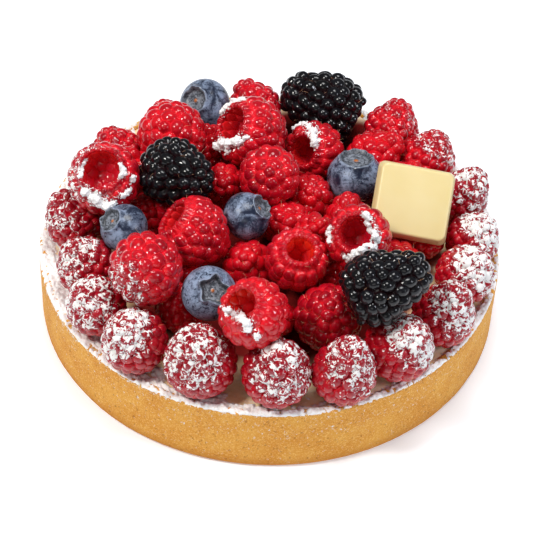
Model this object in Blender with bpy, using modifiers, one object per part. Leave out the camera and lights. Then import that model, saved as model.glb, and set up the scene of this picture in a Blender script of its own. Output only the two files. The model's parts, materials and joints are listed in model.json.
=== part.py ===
"""A raspberry tart: a straight-sided crust, baked almond cream and a heap of berries.

The crust is a plain ring-baked shell. Almond cream fills it nearly to the rim and swells
gently in the middle. Raspberries stand round the edge, and more lie on the cream inside
them. Seven of these lie with their hollow end up. Three brambles, five blueberries and one
small slab of white chocolate finish the heap.

The tart stands on z = 0 with its axis through the origin. The side that is looked at faces
-Y. Sizes are in millimetres, and points become metres as they go into a mesh.
"""
import math
from collections import namedtuple

import bmesh
import bpy
import numpy as np
from mathutils import Matrix, Vector

MM = 0.001

# Crust: outside size of the ring it was baked in, and the thickness of the pastry.
CRUST_RADIUS = 80.0
CRUST_HEIGHT = 26.0
CRUST_WALL = 3.0
CRUST_FLOOR = 4.0
CRUST_FOOT_ROUND = 2.0
CRUST_RIM_ROUND = 1.0
ROUND_STEPS = 3
TURN_STEPS = 64

# Almond cream: level near the rim, with a swell in the middle drawn by this many rings.
CREAM_LEVEL = 25.0
CREAM_SWELL = 4.5
CREAM_SWELL_RADIUS = 58.0
CREAM_RINGS = 6

# Space left between two neighbouring pieces.
GAP = 0.35

# A berry is a blunt drop: a wide ball at the shoulder that tapers to a small ball at the tip.
SHOULDER_CUT = 0.76       # the base is cut flat this share of the wide ball's radius below it
RASPBERRY_TIP = 0.62      # small ball's radius as a share of the wide ball's
BRAMBLE_TIP = 0.70
NESTING = 0.955           # bumps sink into each other, so a solid is this much of the full width
OUTLINE_STEPS = 8         # straight pieces along each ball's part of the outline

# The hollow in an open berry. Its depth and turns are shares of the berry's length, and its
# widths are shares of the hollow's own radius.
HOLE_DEPTH = 0.50
HOLE_MOUTH = 1.15         # the mouth flares
HOLE_NECK = 0.12          # below the mouth it has its own radius
HOLE_TOE = 0.80           # it narrows towards its floor
HOLE_TOE_RISE = 0.08

# Drupelets: the juicy beads that a berry is built from, drawn here coarser than real ones.
# Pitch is from one bead's middle to the next, and a crease is as deep as this below the peaks.
BEAD_PITCH = 6.5
BRAMBLE_BEAD_PITCH = 6.0
RASPBERRY_CREASE = 1.3
BRAMBLE_CREASE = 1.6
BEAD_SHIFT = 0.10         # uneven spacing, as a share of the pitch
ROW_PITCH = 0.87          # staggered rows lie closer than the beads in a row
SEED = 7

# Blueberry: a squat ball with a five-pointed crown round a shallow cup.
BLUEBERRY_SQUAT = 0.90
BLUEBERRY_SEGMENTS = 15
BLUEBERRY_RINGS = 8
CROWN_POINTS = 5
CROWN_WIDTH = 0.92        # the crown stands in from the ball's own ring by this share
CROWN_RISE = 0.10         # height of its points and depth of the dips between, as shares
CROWN_DIP = 0.04          # of the berry's radius
CUP_DEPTH = 0.24

# White chocolate slab: it leans back on the berries and is turned a little on its face.
SLAB_WIDTH = 27.2
SLAB_LENGTH = 25.8
SLAB_THICKNESS = 4.0
SLAB_CORNER = 2.6
SLAB_EDGE = 0.8
SLAB_PLACE = (48.0, -2.5, 49.5)
SLAB_LEAN = 39.0
SLAB_SWING = 9.0
SLAB_TURN = -14.5

# Settling: how the berries are eased apart from the places that were chosen for them.
SETTLE_ROUNDS = 900
SETTLE_HOLD = 0.02        # pull back to the chosen place in the first round, as a share
SETTLE_LET_GO = 0.77      # the pull has faded to nothing at this share of the rounds
PUSH_PAIR = 0.25          # share of an overlap that each of two berries gives way
PUSH_SLAB = 0.50          # the slab stays, so a berry gives way more
PUSH_UP = 0.60            # share that a berry is lifted off the cream or the rim
BALLS_IN_ROW = 5          # balls that stand for a long berry
AROUND_STEPS = 16         # points round a berry that feel the cream

# Where each berry lies: the middle of its length, its width and length, the way its tip
# points (turn from +X towards +Y, and rise above level, in degrees), and the radius of its
# hollow as a share of the wide ball's where the hollow shows.
Berry = namedtuple("Berry", "x y z width length turn rise hole", defaults=(0.0,))

# The ring on the rim, from the left round the front to the back.
RING = [
    Berry(-68, -3, 37, 20.0, 21.0, 170, 62),
    Berry(-62, -26, 37, 20.0, 20.0, 190, 60),
    Berry(-57, -44, 38, 20.0, 20.0, 215, 62),
    Berry(-43, -60, 39, 21.5, 23.5, 235, 68),
    Berry(-21, -68, 40, 23.5, 27.0, 250, 76),
    Berry(4, -71, 39, 22.5, 24.5, 290, 72),
    Berry(27, -69, 39, 21.0, 26.0, 300, 78),
    Berry(43, -59, 39, 22.5, 24.0, 320, 64),
    Berry(59, -42, 39, 21.0, 25.0, 320, 74),
    Berry(67, -23, 38, 20.0, 20.0, 340, 62),
    Berry(70, -4, 36, 18.5, 19.0, 0, 65),
    Berry(68, 17, 37, 19.0, 21.0, 20, 60),
    Berry(56, 36, 37, 20.0, 20.0, 40, 60),
    Berry(41.5, 51, 37, 20.0, 20.5, 55, 62),
    Berry(-6, 61, 37, 19.5, 20.0, 140, 50),
    Berry(-39, 50, 35, 17.0, 18.0, 120, 60),
    Berry(-56, 31, 37, 20.0, 20.0, 150, 60),
    Berry(-63, 15, 38, 17.0, 18.0, 160, 60),
]

# Berries that lie on the cream, seen between those above them.
LOW = [
    Berry(-17, 11, 41, 17.0, 20.0, 270, 50),
    Berry(-8, -25, 39, 18.0, 20.0, 250, 60),
    Berry(20, -47, 39, 22.5, 24.0, 270, 65),
    Berry(27, 2, 39, 17.5, 18.0, 100, 60),
    Berry(5, -5, 39, 17.0, 17.0, 200, 40),
    Berry(14, 10, 39, 17.0, 17.0, 270, 60),
    Berry(38, 34, 39, 19.0, 21.0, 10, 40),
    Berry(44, -19, 37, 16.5, 17.0, 300, 60),
    Berry(-29, -42, 35, 17.0, 17.0, 250, 60),
    Berry(-27, -28, 34, 13.0, 13.0, 250, 60),
    Berry(-41, 1, 36, 17.0, 17.0, 250, 60),
    Berry(-49, 17, 43, 15.0, 16.0, 150, 60),
    Berry(-23, 39, 35, 16.0, 16.0, 120, 60),
    Berry(15, -15, 47, 13.0, 14.0, 300, 60),
    Berry(23, -25, 36, 16.0, 16.0, 300, 60),
    Berry(4, -44, 34, 13.0, 13.0, 270, 60),
    Berry(47, 20, 38, 18.0, 18.0, 30, 60),
    Berry(55, -10, 35, 17.5, 18.0, 0, 60),
]

# Berries on top of the heap that show their tips.
TOP = [
    Berry(-36, 30, 47, 24.5, 22.0, 250, 55),
    Berry(0, 7, 50, 21.0, 20.0, 270, 50),
    Berry(-40, -44, 54, 24.0, 24.0, 250, 48),
]

# Berries on top of the heap that show the hollow that their core was pulled from.
OPEN = [
    Berry(-56, 0, 52, 24.5, 20.0, 81, -62, 0.50),
    Berry(-7, 32, 47, 25.5, 24.0, 20, -40, 0.42),
    Berry(16, 36, 38, 21.0, 21.0, 48, -31, 0.40),
    Berry(-23, -20, 47, 23.5, 24.0, -4, -41, 0.42),
    Berry(9, -29, 45, 21.0, 20.0, 112, -71, 0.36),
    Berry(-3, -62, 53, 22.5, 22.0, 35, -52, 0.42),
    Berry(29, -24, 52, 22.0, 19.0, 75, -53, 0.46),
]

BRAMBLES = [
    Berry(-33.5, 0.5, 51.5, 23.5, 27.0, -42, 15),
    Berry(15, 57.5, 38.5, 27.0, 30.5, 163, 18),
    Berry(38, -50, 58, 24.0, 29.0, 20, 15),
]

# A blueberry's turn and rise give the way that its crown points.
BLUEBERRIES = [
    Berry(-26, 63, 34, 19.0, 17.2, 229, 44),
    Berry(-8, -11, 48, 16.5, 14.8, -4, 44),
    Berry(-49, -17, 46, 16.5, 14.8, 202, 49),
    Berry(-19, -47, 47, 18.0, 16.2, -71, 53),
    Berry(27, 15.5, 41.5, 19.6, 17.6, 90, 80),
]


def clear_scene():
    """Start from an empty scene, whatever was open before."""
    for old in list(bpy.data.objects):
        bpy.data.objects.remove(old, do_unlink=True)


def new_collection(name):
    """A collection of its own for the tart."""
    collection = bpy.data.collections.new(name)
    bpy.context.scene.collection.children.link(collection)
    return collection


def finish(name, colour, roughness):
    """A plain Principled material in one colour."""
    material = bpy.data.materials.new(name)
    material.use_nodes = True
    shader = material.node_tree.nodes["Principled BSDF"]
    shader.inputs["Base Color"].default_value = (*colour, 1.0)
    shader.inputs["Roughness"].default_value = roughness
    shader.inputs["Metallic"].default_value = 0.0
    return material


def add_object(name, mesh, material, collection, smooth_angle=35.0):
    """Put a mesh into the tart under its own name, shaded smooth up to an angle."""
    mesh.materials.append(material)
    mesh.shade_smooth()
    mesh.set_sharp_from_angle(angle=math.radians(smooth_angle))
    piece = bpy.data.objects.new(name, mesh)
    collection.objects.link(piece)
    return piece


def cream_height(radius):
    """Height of the cream's surface at a distance from the tart's axis."""
    share = np.clip(np.asarray(radius) / CREAM_SWELL_RADIUS, 0.0, 1.0)
    return CREAM_LEVEL + CREAM_SWELL * 0.5 * (1.0 + np.cos(np.pi * share))


def top_height(radius):
    """Height of whatever a berry can stand on: the cream, then the rim, then nothing."""
    inside = CRUST_RADIUS - CRUST_WALL
    on_rim = np.where(radius < CRUST_RADIUS, CRUST_HEIGHT, -CRUST_HEIGHT)
    return np.where(radius < inside, cream_height(radius), on_rim)


def arc(centre_x, centre_z, radius, start, stop):
    """Points on a round corner, from one angle to another in degrees."""
    angles = np.radians(np.linspace(start, stop, ROUND_STEPS + 1))
    return [(centre_x + radius * math.cos(a), centre_z + radius * math.sin(a)) for a in angles]


def turned(name, outline, material, collection):
    """A shape turned about the tart's axis from half of its cross-section."""
    mesh = bpy.data.meshes.new(name)
    points = [(x * MM, 0.0, z * MM) for x, z in outline]
    edges = [(i, i + 1) for i in range(len(points) - 1)]
    mesh.from_pydata(points, edges, [])
    piece = add_object(name, mesh, material, collection)
    screw = piece.modifiers.new("turn", "SCREW")
    screw.steps = TURN_STEPS
    screw.render_steps = TURN_STEPS
    screw.use_merge_vertices = True
    screw.merge_threshold = 0.00001
    return piece


def make_crust(material, collection):
    """The pastry shell, from the middle of its floor over the rim to the middle below."""
    inside = CRUST_RADIUS - CRUST_WALL
    rim = CRUST_RIM_ROUND
    foot = CRUST_FOOT_ROUND
    outline = [(0.0, CRUST_FLOOR), (inside, CRUST_FLOOR)]
    outline += arc(inside + rim, CRUST_HEIGHT - rim, rim, 180, 90)
    outline += arc(CRUST_RADIUS - rim, CRUST_HEIGHT - rim, rim, 90, 0)
    outline += arc(CRUST_RADIUS - foot, foot, foot, 0, -90)
    outline += [(0.0, 0.0)]
    return turned("tart_shell", outline, material, collection)


def make_cream(material, collection):
    """The almond cream, clear of the pastry by the gap."""
    edge = CRUST_RADIUS - CRUST_WALL - GAP
    radii = np.linspace(0.0, CREAM_SWELL_RADIUS, CREAM_RINGS)
    outline = [(r, float(cream_height(r))) for r in radii]
    outline += [(edge, CREAM_LEVEL), (edge, CRUST_FLOOR + GAP), (0.0, CRUST_FLOOR + GAP)]
    return turned("almond_cream", outline, material, collection)


def tip_direction(berry):
    """Unit vector from a berry's base to its tip."""
    turn = math.radians(berry.turn)
    rise = math.radians(berry.rise)
    level = math.cos(rise)
    return np.array([math.cos(turn) * level, math.sin(turn) * level, math.sin(rise)])


def drop_balls(berry, tip_share):
    """The two balls that a berry's outline wraps: place along the axis, and radius."""
    wide = NESTING * berry.width / 2
    small = wide * tip_share
    low = -berry.length / 2 + SHOULDER_CUT * wide
    high = max(berry.length / 2 - small, low + (wide - small) + 0.1)
    return (low, wide), (high, small)


def drop_outline(berry, tip_share):
    """Half outline of a berry from its tip to the middle of its base, as (radius, height)."""
    (low, wide), (high, small) = drop_balls(berry, tip_share)
    lean = math.asin((wide - small) / (high - low))
    points = []
    for angle in np.linspace(0.0, math.pi / 2 - lean, OUTLINE_STEPS + 1):
        points.append((small * math.sin(angle), high + small * math.cos(angle)))
    shoulder = math.acos(-SHOULDER_CUT)
    for angle in np.linspace(math.pi / 2 - lean, shoulder, OUTLINE_STEPS + 1):
        points.append((wide * math.sin(angle), low + wide * math.cos(angle)))
    base = low - SHOULDER_CUT * wide
    if berry.hole:
        hole = berry.hole * wide
        floor = base + HOLE_DEPTH * berry.length
        points += [(hole * HOLE_MOUTH, base), (hole, base + HOLE_NECK * berry.length)]
        points += [(hole * HOLE_TOE, floor - HOLE_TOE_RISE * berry.length), (0.0, floor)]
    else:
        points += [(0.0, base)]
    return np.array(points)


class Outline:
    """An outline that can be asked for a point by its share of the whole length."""

    def __init__(self, points):
        steps = np.linalg.norm(np.diff(points, axis=0), axis=1)
        self.points = points
        self.along = np.concatenate([[0.0], np.cumsum(steps)])
        self.length = self.along[-1]

    def at(self, share):
        """Radius, height and outward normal at a share of the length from the tip."""
        place = share * self.length
        radius = np.interp(place, self.along, self.points[:, 0])
        height = np.interp(place, self.along, self.points[:, 1])
        step = 0.02 * self.length
        ends = np.clip([place - step, place + step], 0.0, self.length)
        d_radius = np.diff(np.interp(ends, self.along, self.points[:, 0]))[0]
        d_height = np.diff(np.interp(ends, self.along, self.points[:, 1]))[0]
        size = math.hypot(d_radius, d_height) + 1e-9
        return radius, height, -d_height / size, d_radius / size


def bead_rows(outline, pitch, rng):
    """Bead centres in staggered rows: each is (share of the outline, angle round it)."""
    rows = max(3, round(outline.length / (pitch * ROW_PITCH)))
    centres = [(0.0, 0.0)]
    for row in range(1, rows):
        share = row / rows
        radius = outline.at(share)[0]
        count = max(3, round(2 * math.pi * radius / pitch))
        for k in range(count):
            shift = rng.uniform(-BEAD_SHIFT, BEAD_SHIFT, 2)
            angle = 2 * math.pi * (k + 0.5 * (row % 2) + shift[0]) / count
            centres.append((share + shift[1] / rows, angle))
    centres.append((1.0, 0.0))
    return centres


def on_ball(share, angle):
    """The point of a unit ball that stands for a place on the outline."""
    polar = math.pi * share
    level = math.sin(polar)
    return Vector((level * math.cos(angle), level * math.sin(angle), math.cos(polar)))


def bead_mesh(name, points, pitch, crease, rng):
    """A berry's skin: one peak for each bead, and a crease where three beads meet."""
    outline = Outline(points)
    bm = bmesh.new()
    for share, angle in bead_rows(outline, pitch, rng):
        bm.verts.new(on_ball(share, angle))
    # The hull of the peaks on a ball says which beads are neighbours.
    bmesh.ops.convex_hull(bm, input=list(bm.verts))
    peaks = set(bm.verts)
    between_peaks = list(bm.edges)
    bmesh.ops.poke(bm, faces=list(bm.faces))
    # Turning each edge makes it run along the crease and not from peak to peak.
    bmesh.ops.rotate_edges(bm, edges=between_peaks)
    for vert in bm.verts:
        ball = vert.co.normalized()
        share = math.acos(max(-1.0, min(1.0, ball.z))) / math.pi
        angle = math.atan2(ball.y, ball.x)
        radius, height, out_radius, out_height = outline.at(share)
        if vert not in peaks:
            radius -= crease * out_radius
            height -= crease * out_height
        radius = max(radius, 0.0)
        vert.co = Vector((radius * math.cos(angle), radius * math.sin(angle), height)) * MM
    bmesh.ops.triangulate(bm, faces=list(bm.faces))
    bmesh.ops.recalc_face_normals(bm, faces=list(bm.faces))
    mesh = bpy.data.meshes.new(name)
    bm.to_mesh(mesh)
    bm.free()
    return mesh


def blueberry_mesh(name, berry):
    """A squat ball whose top is sunk into a cup inside a ring of crown points."""
    radius = berry.width / 2 * NESTING
    bm = bmesh.new()
    bmesh.ops.create_uvsphere(
        bm, u_segments=BLUEBERRY_SEGMENTS, v_segments=BLUEBERRY_RINGS, radius=radius
    )
    step = math.pi / BLUEBERRY_RINGS
    for vert in bm.verts:
        polar = vert.co.angle(Vector((0, 0, 1)))
        ring = round(polar / step)
        angle = math.atan2(vert.co.y, vert.co.x)
        vert.co.z *= BLUEBERRY_SQUAT
        if ring == 0:
            vert.co.z -= CUP_DEPTH * radius
        elif ring == 1:
            point = 0.5 + 0.5 * math.cos(CROWN_POINTS * angle)
            vert.co.x *= CROWN_WIDTH
            vert.co.y *= CROWN_WIDTH
            vert.co.z += (CROWN_RISE * point - CROWN_DIP) * radius
    bmesh.ops.scale(bm, vec=(MM, MM, MM), verts=bm.verts)
    mesh = bpy.data.meshes.new(name)
    bm.to_mesh(mesh)
    bm.free()
    return mesh


def place_berry(piece, centre, berry):
    """Stand a berry's own +Z along the way that its tip points, at its place in the heap."""
    direction = Vector(tip_direction(berry))
    piece.rotation_euler = direction.to_track_quat("Z", "Y").to_euler()
    piece.location = Vector(centre) * MM


def make_slab(material, collection):
    """The chocolate slab: rounded corners, then a softer edge all round both faces."""
    bm = bmesh.new()
    bmesh.ops.create_cube(bm, size=1.0)
    size = Vector((SLAB_WIDTH, SLAB_LENGTH, SLAB_THICKNESS))
    bmesh.ops.scale(bm, vec=size * MM, verts=bm.verts)
    corners = [e for e in bm.edges if abs(e.verts[0].co.z - e.verts[1].co.z) > MM]
    bmesh.ops.bevel(
        bm, geom=corners, offset=SLAB_CORNER * MM, segments=3, profile=0.5, affect="EDGES"
    )
    mesh = bpy.data.meshes.new("chocolate_slab")
    bm.to_mesh(mesh)
    bm.free()
    piece = add_object("chocolate_slab", mesh, material, collection)
    bevel = piece.modifiers.new("soft_edge", "BEVEL")
    bevel.width = SLAB_EDGE * MM
    bevel.segments = 2
    bevel.limit_method = "ANGLE"
    bevel.angle_limit = math.radians(50)
    piece.matrix_world = slab_frame()
    return piece


def slab_frame():
    """Where the slab lies: turned on its face, leaned back, swung round, and put in place."""
    turn = Matrix.Rotation(math.radians(SLAB_TURN), 4, "Z")
    lean = Matrix.Rotation(math.radians(SLAB_LEAN), 4, "X")
    swing = Matrix.Rotation(math.radians(SLAB_SWING), 4, "Z")
    return Matrix.Translation(Vector(SLAB_PLACE) * MM) @ swing @ lean @ turn


def balls_of(berry, tip_share):
    """Place along the axis and radius of balls that fill a berry: one if it has no tip."""
    if tip_share is None:
        return np.array([0.0]), np.array([NESTING * berry.width / 2])
    (low, wide), (high, small) = drop_balls(berry, tip_share)
    return np.linspace(low, high, BALLS_IN_ROW), np.linspace(wide, small, BALLS_IN_ROW)


def skin_of(berry, tip_share):
    """Points all round a berry's outline, relative to its middle."""
    if tip_share is None:
        angles = np.linspace(0.0, math.pi, AROUND_STEPS)
        radius = NESTING * berry.width / 2
        outline = np.stack([radius * np.sin(angles), radius * BLUEBERRY_SQUAT * np.cos(angles)], 1)
    else:
        outline = drop_outline(berry._replace(hole=0.0), tip_share)
    axis = Vector(tip_direction(berry)).to_track_quat("Z", "Y").to_matrix()
    around = np.linspace(0.0, 2 * math.pi, AROUND_STEPS, endpoint=False)
    points = [(r * math.cos(a), r * math.sin(a), h) for r, h in outline for a in around]
    return np.array(points) @ np.array(axis).T


def settle(heap):
    """Ease the berries apart from their chosen places until none touches another."""
    chosen = np.array([[b.x, b.y, b.z] for b, _ in heap], dtype=float)
    centre = chosen.copy()
    axes = np.array([tip_direction(b) for b, _ in heap])
    rows = [balls_of(b, tip) for b, tip in heap]
    owner = np.repeat(np.arange(len(heap)), [len(r[0]) for r in rows])
    along = np.concatenate([r[0] for r in rows])
    radius = np.concatenate([r[1] for r in rows])
    skins = [skin_of(b, tip) for b, tip in heap]
    slab = np.array(slab_frame())
    slab_turn = slab[:3, :3]
    slab_half = np.array([SLAB_WIDTH, SLAB_LENGTH, SLAB_THICKNESS]) / 2
    for turn in range(SETTLE_ROUNDS):
        pull = SETTLE_HOLD * max(0.0, 1.0 - turn / (SETTLE_LET_GO * SETTLE_ROUNDS))
        centre += pull * (chosen - centre)
        balls = centre[owner] + axes[owner] * along[:, None]
        apart = balls[:, None] - balls[None]
        distance = np.sqrt((apart ** 2).sum(-1)) + 1e-9
        overlap = radius[:, None] + radius[None] + GAP - distance
        overlap[owner[:, None] == owner[None]] = 0.0
        first, second = np.nonzero(np.triu(overlap > 0.0, 1))
        for i, j in zip(first, second):
            push = PUSH_PAIR * overlap[i, j] * apart[i, j] / distance[i, j]
            centre[owner[i]] += push
            centre[owner[j]] -= push
        local = (balls - slab[:3, 3] / MM) @ slab_turn
        away = local - np.clip(local, -slab_half, slab_half)
        clear = np.linalg.norm(away, axis=1) + 1e-9
        for i in np.nonzero(clear < radius + GAP)[0]:
            push = PUSH_SLAB * (radius[i] + GAP - clear[i]) * away[i] / clear[i]
            centre[owner[i]] += slab_turn @ push
        for i, skin in enumerate(skins):
            points = centre[i] + skin
            top = top_height(np.hypot(points[:, 0], points[:, 1]))
            sunk = (top + GAP - points[:, 2]).max()
            if sunk > 0.0:
                centre[i][2] += PUSH_UP * sunk
    return centre


def build_tart():
    """Make every piece of the tart in its own named object."""
    clear_scene()
    tart = new_collection("raspberry_tart")
    pastry = finish("baked_pastry", (0.72, 0.36, 0.09), 0.75)
    cream = finish("baked_almond_cream", (0.62, 0.42, 0.22), 0.65)
    red_skin = finish("raspberry_skin", (0.62, 0.01, 0.03), 0.35)
    black_skin = finish("bramble_skin", (0.015, 0.012, 0.02), 0.25)
    blue_skin = finish("blueberry_bloom", (0.12, 0.17, 0.30), 0.55)
    chocolate = finish("white_chocolate", (0.90, 0.80, 0.45), 0.40)
    make_crust(pastry, tart)
    make_cream(cream, tart)
    make_slab(chocolate, tart)

    raspberries = RING + LOW + TOP + OPEN
    heap = [(berry, RASPBERRY_TIP) for berry in raspberries]
    heap += [(berry, BRAMBLE_TIP) for berry in BRAMBLES]
    heap += [(berry, None) for berry in BLUEBERRIES]
    places = settle(heap)

    rng = np.random.default_rng(SEED)
    for index, (berry, tip) in enumerate(heap):
        if index < len(raspberries):
            name = f"raspberry_{index + 1:02d}"
            points = drop_outline(berry, tip)
            mesh = bead_mesh(name, points, BEAD_PITCH, RASPBERRY_CREASE, rng)
            skin = red_skin
        elif tip is not None:
            name = f"bramble_{index - len(raspberries) + 1}"
            points = drop_outline(berry, tip)
            mesh = bead_mesh(name, points, BRAMBLE_BEAD_PITCH, BRAMBLE_CREASE, rng)
            skin = black_skin
        else:
            name = f"blueberry_{index - len(raspberries) - len(BRAMBLES) + 1}"
            mesh = blueberry_mesh(name, berry)
            skin = blue_skin
        piece = add_object(name, mesh, skin, tart)
        place_berry(piece, places[index], berry)


build_tart()
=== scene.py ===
# %% [markdown]
# # A raspberry tart, dressed
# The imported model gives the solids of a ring-baked tart: crust, almond cream, berries and a
# slab of white chocolate. This lesson gives each of them the skin that it has on the real
# tart. It keeps to the places that the solids have, so nothing has to be fitted by eye.

import json
import math

import bmesh
import bpy
import numpy as np
from mathutils import Matrix, Vector, noise
from mathutils.bvhtree import BVHTree

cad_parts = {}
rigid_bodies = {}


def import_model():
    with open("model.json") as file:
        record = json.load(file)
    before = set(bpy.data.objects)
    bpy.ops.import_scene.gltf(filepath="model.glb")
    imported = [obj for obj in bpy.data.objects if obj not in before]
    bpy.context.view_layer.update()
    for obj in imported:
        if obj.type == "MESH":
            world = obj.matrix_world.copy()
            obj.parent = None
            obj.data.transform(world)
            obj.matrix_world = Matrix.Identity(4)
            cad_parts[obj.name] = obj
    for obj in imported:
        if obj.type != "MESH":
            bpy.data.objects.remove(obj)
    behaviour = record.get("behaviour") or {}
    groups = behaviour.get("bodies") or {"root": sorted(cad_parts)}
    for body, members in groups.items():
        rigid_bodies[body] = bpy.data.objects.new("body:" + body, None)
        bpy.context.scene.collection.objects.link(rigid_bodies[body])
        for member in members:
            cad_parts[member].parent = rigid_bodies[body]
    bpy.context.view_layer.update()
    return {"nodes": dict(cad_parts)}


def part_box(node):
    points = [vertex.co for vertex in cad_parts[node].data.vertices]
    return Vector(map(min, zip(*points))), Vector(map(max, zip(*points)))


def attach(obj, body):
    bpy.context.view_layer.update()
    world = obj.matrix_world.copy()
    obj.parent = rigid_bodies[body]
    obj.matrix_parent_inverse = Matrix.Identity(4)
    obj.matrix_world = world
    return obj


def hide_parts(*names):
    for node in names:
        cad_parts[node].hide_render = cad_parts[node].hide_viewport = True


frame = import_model()
MM = 0.001

# %% [markdown]
# ## Camera
# A camera is a place, three directions and a lens. The rim of the real crust looks like an
# ellipse, and the shape of that ellipse says how high the camera stood: 45 degrees above
# level. The directions are written as three vectors, because that shows what each one does.

# %% Camera
IMAGE_SIDE = 533
FOCAL_PIXELS = 1863
CAMERA_DISTANCE = 0.650
CAMERA_HEIGHT_ANGLE = math.radians(45.0)
CAMERA_ROLL = math.radians(2.32)
CAMERA_TARGET = Vector((-0.73, -6.6, 20.0)) * MM


def make_camera():
    """A camera that looks at the target, rolled a little about its own line of sight."""
    rise = CAMERA_HEIGHT_ANGLE
    back = Vector((0.0, -math.cos(rise), math.sin(rise)))
    right = Vector((1.0, 0.0, 0.0))
    up = back.cross(right)
    rolled_right = math.cos(CAMERA_ROLL) * right + math.sin(CAMERA_ROLL) * up
    rolled_up = back.cross(rolled_right)
    data = bpy.data.cameras.new("camera")
    data.sensor_width = 36.0
    data.lens = data.sensor_width * FOCAL_PIXELS / IMAGE_SIDE
    camera = bpy.data.objects.new("camera", data)
    bpy.context.scene.collection.objects.link(camera)
    place = Matrix((rolled_right, rolled_up, back)).transposed().to_4x4()
    place.translation = CAMERA_TARGET + back * CAMERA_DISTANCE
    camera.matrix_world = place
    bpy.context.scene.camera = camera
    return camera


camera = make_camera()
print(f"lens {camera.data.lens:.1f} mm at {CAMERA_DISTANCE:.2f} m")

# %% [markdown]
# ## Colours and nodes
# A colour picked on a screen is stored for the eye, and a renderer counts light. One
# function turns the first into the second. Another adds a shader node: a value that is a
# socket of another node becomes a link, and any other value becomes a setting.


# %% Helpers for colours and nodes
def linear(hex_colour, alpha=1.0):
    """Linear colour from an sRGB hex value such as 'c81e2d'."""
    parts = [int(hex_colour[i:i + 2], 16) / 255.0 for i in (0, 2, 4)]
    curve = [c / 12.92 if c <= 0.04045 else ((c + 0.055) / 1.055) ** 2.4 for c in parts]
    return (*curve, alpha)


def add_node(tree, kind, settings=None, inputs=None):
    """Add a node, set its properties, and set or link its input sockets."""
    node = tree.nodes.new("ShaderNode" + kind)
    for name, value in (settings or {}).items():
        setattr(node, name, value)
    for name, value in (inputs or {}).items():
        if isinstance(value, bpy.types.NodeSocket):
            tree.links.new(value, node.inputs[name])
        else:
            node.inputs[name].default_value = value
    return node


def new_material(name):
    """An empty node material, its tree, and the Principled shader that it ends in."""
    material = bpy.data.materials.new(name)
    material.use_nodes = True
    tree = material.node_tree
    return material, tree, tree.nodes["Principled BSDF"]


def set_shader(tree, shader, values):
    """Set or link several sockets of a shader."""
    for name, value in values.items():
        if isinstance(value, bpy.types.NodeSocket):
            tree.links.new(value, shader.inputs[name])
        else:
            shader.inputs[name].default_value = value


MIX_FACTOR, MIX_A, MIX_B, MIX_RESULT = 0, 6, 7, 2    # a colour Mix node's sockets by number


def mix_colour(tree, share, first, second):
    """Blend two colours by a share from 0 to 1."""
    node = add_node(
        tree, "Mix", {"data_type": "RGBA"}, {MIX_FACTOR: share, MIX_A: first, MIX_B: second}
    )
    return node.outputs[MIX_RESULT]


def ramp(tree, value, low, high, to_low=0.0, to_high=1.0):
    """Stretch a value smoothly from one range to another."""
    settings = {"interpolation_type": "SMOOTHSTEP"}
    inputs = {"Value": value, 1: low, 2: high, 3: to_low, 4: to_high}
    return add_node(tree, "MapRange", settings, inputs).outputs["Result"]


# %% [markdown]
# ## Floor and light
# The tart was photographed as food usually is: on white, with large soft lamps. A big soft
# lamp above keeps shadows pale. Smaller lamps at the left, the right and the front put the
# glints on each wet bead. The room itself is dim, or its haze would wash out the deep reds.
# The floor is stage and not part of the tart.


# %% Floor and light
def soft_lamp(name, place, aim, size, watts, colour):
    """A square area lamp at a place in metres, turned to an aim point."""
    data = bpy.data.lights.new(name, "AREA")
    data.shape = "RECTANGLE"
    data.size, data.size_y = size
    data.energy = watts
    data.color = linear(colour)[:3]
    lamp = bpy.data.objects.new(name, data)
    bpy.context.scene.collection.objects.link(lamp)
    lamp.location = place
    lamp.rotation_mode = "QUATERNION"
    lamp.rotation_quaternion = (Vector(aim) - Vector(place)).to_track_quat("-Z", "Y")
    return lamp


def make_stage():
    """A wide pale floor at the tart's foot, lit a little from below as on a photographer's
    light table, and a dim white room."""
    bm = bmesh.new()
    bmesh.ops.create_grid(bm, x_segments=4, y_segments=4, size=4.0)
    mesh = bpy.data.meshes.new("floor")
    bm.to_mesh(mesh)
    bm.free()
    floor = bpy.data.objects.new("floor", mesh)
    bpy.context.scene.collection.objects.link(floor)
    material, tree, shader = new_material("lit_white_table")
    set_shader(tree, shader, {
        "Base Color": linear("f3f6fb"), "Roughness": 0.9,
        "Emission Color": linear("f4f8ff"), "Emission Strength": 0.28,
    })
    mesh.materials.append(material)
    world = bpy.data.worlds.new("white_room")
    world.use_nodes = True
    background = world.node_tree.nodes["Background"]
    background.inputs["Color"].default_value = (1.0, 1.0, 1.0, 1.0)
    background.inputs["Strength"].default_value = 0.15
    bpy.context.scene.world = world


AIM = (0.0, 0.0, 0.03)
make_stage()
soft_lamp("key", (-0.45, -0.22, 0.78), AIM, (0.16, 0.16), 5.0, "fffcf6")
soft_lamp("top", (0.08, 0.12, 1.00), AIM, (0.46, 0.34), 5.8, "ffffff")
soft_lamp("side", (0.72, -0.30, 0.50), AIM, (0.14, 0.24), 2.4, "eef3ff")
soft_lamp("front", (-0.05, -0.95, 0.50), AIM, (0.60, 0.30), 0.8, "fffdf8")
bpy.context.scene.view_settings.view_transform = "Standard"

# %% [markdown]
# ## Round shapes from half an outline
# The crust and the cream are turned shapes. Blender's Screw modifier turns an outline, but
# here each point also gets its own small unevenness, so the rows are laid out in code: one
# row of points for each point of the outline, and a face between each two rows.


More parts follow.
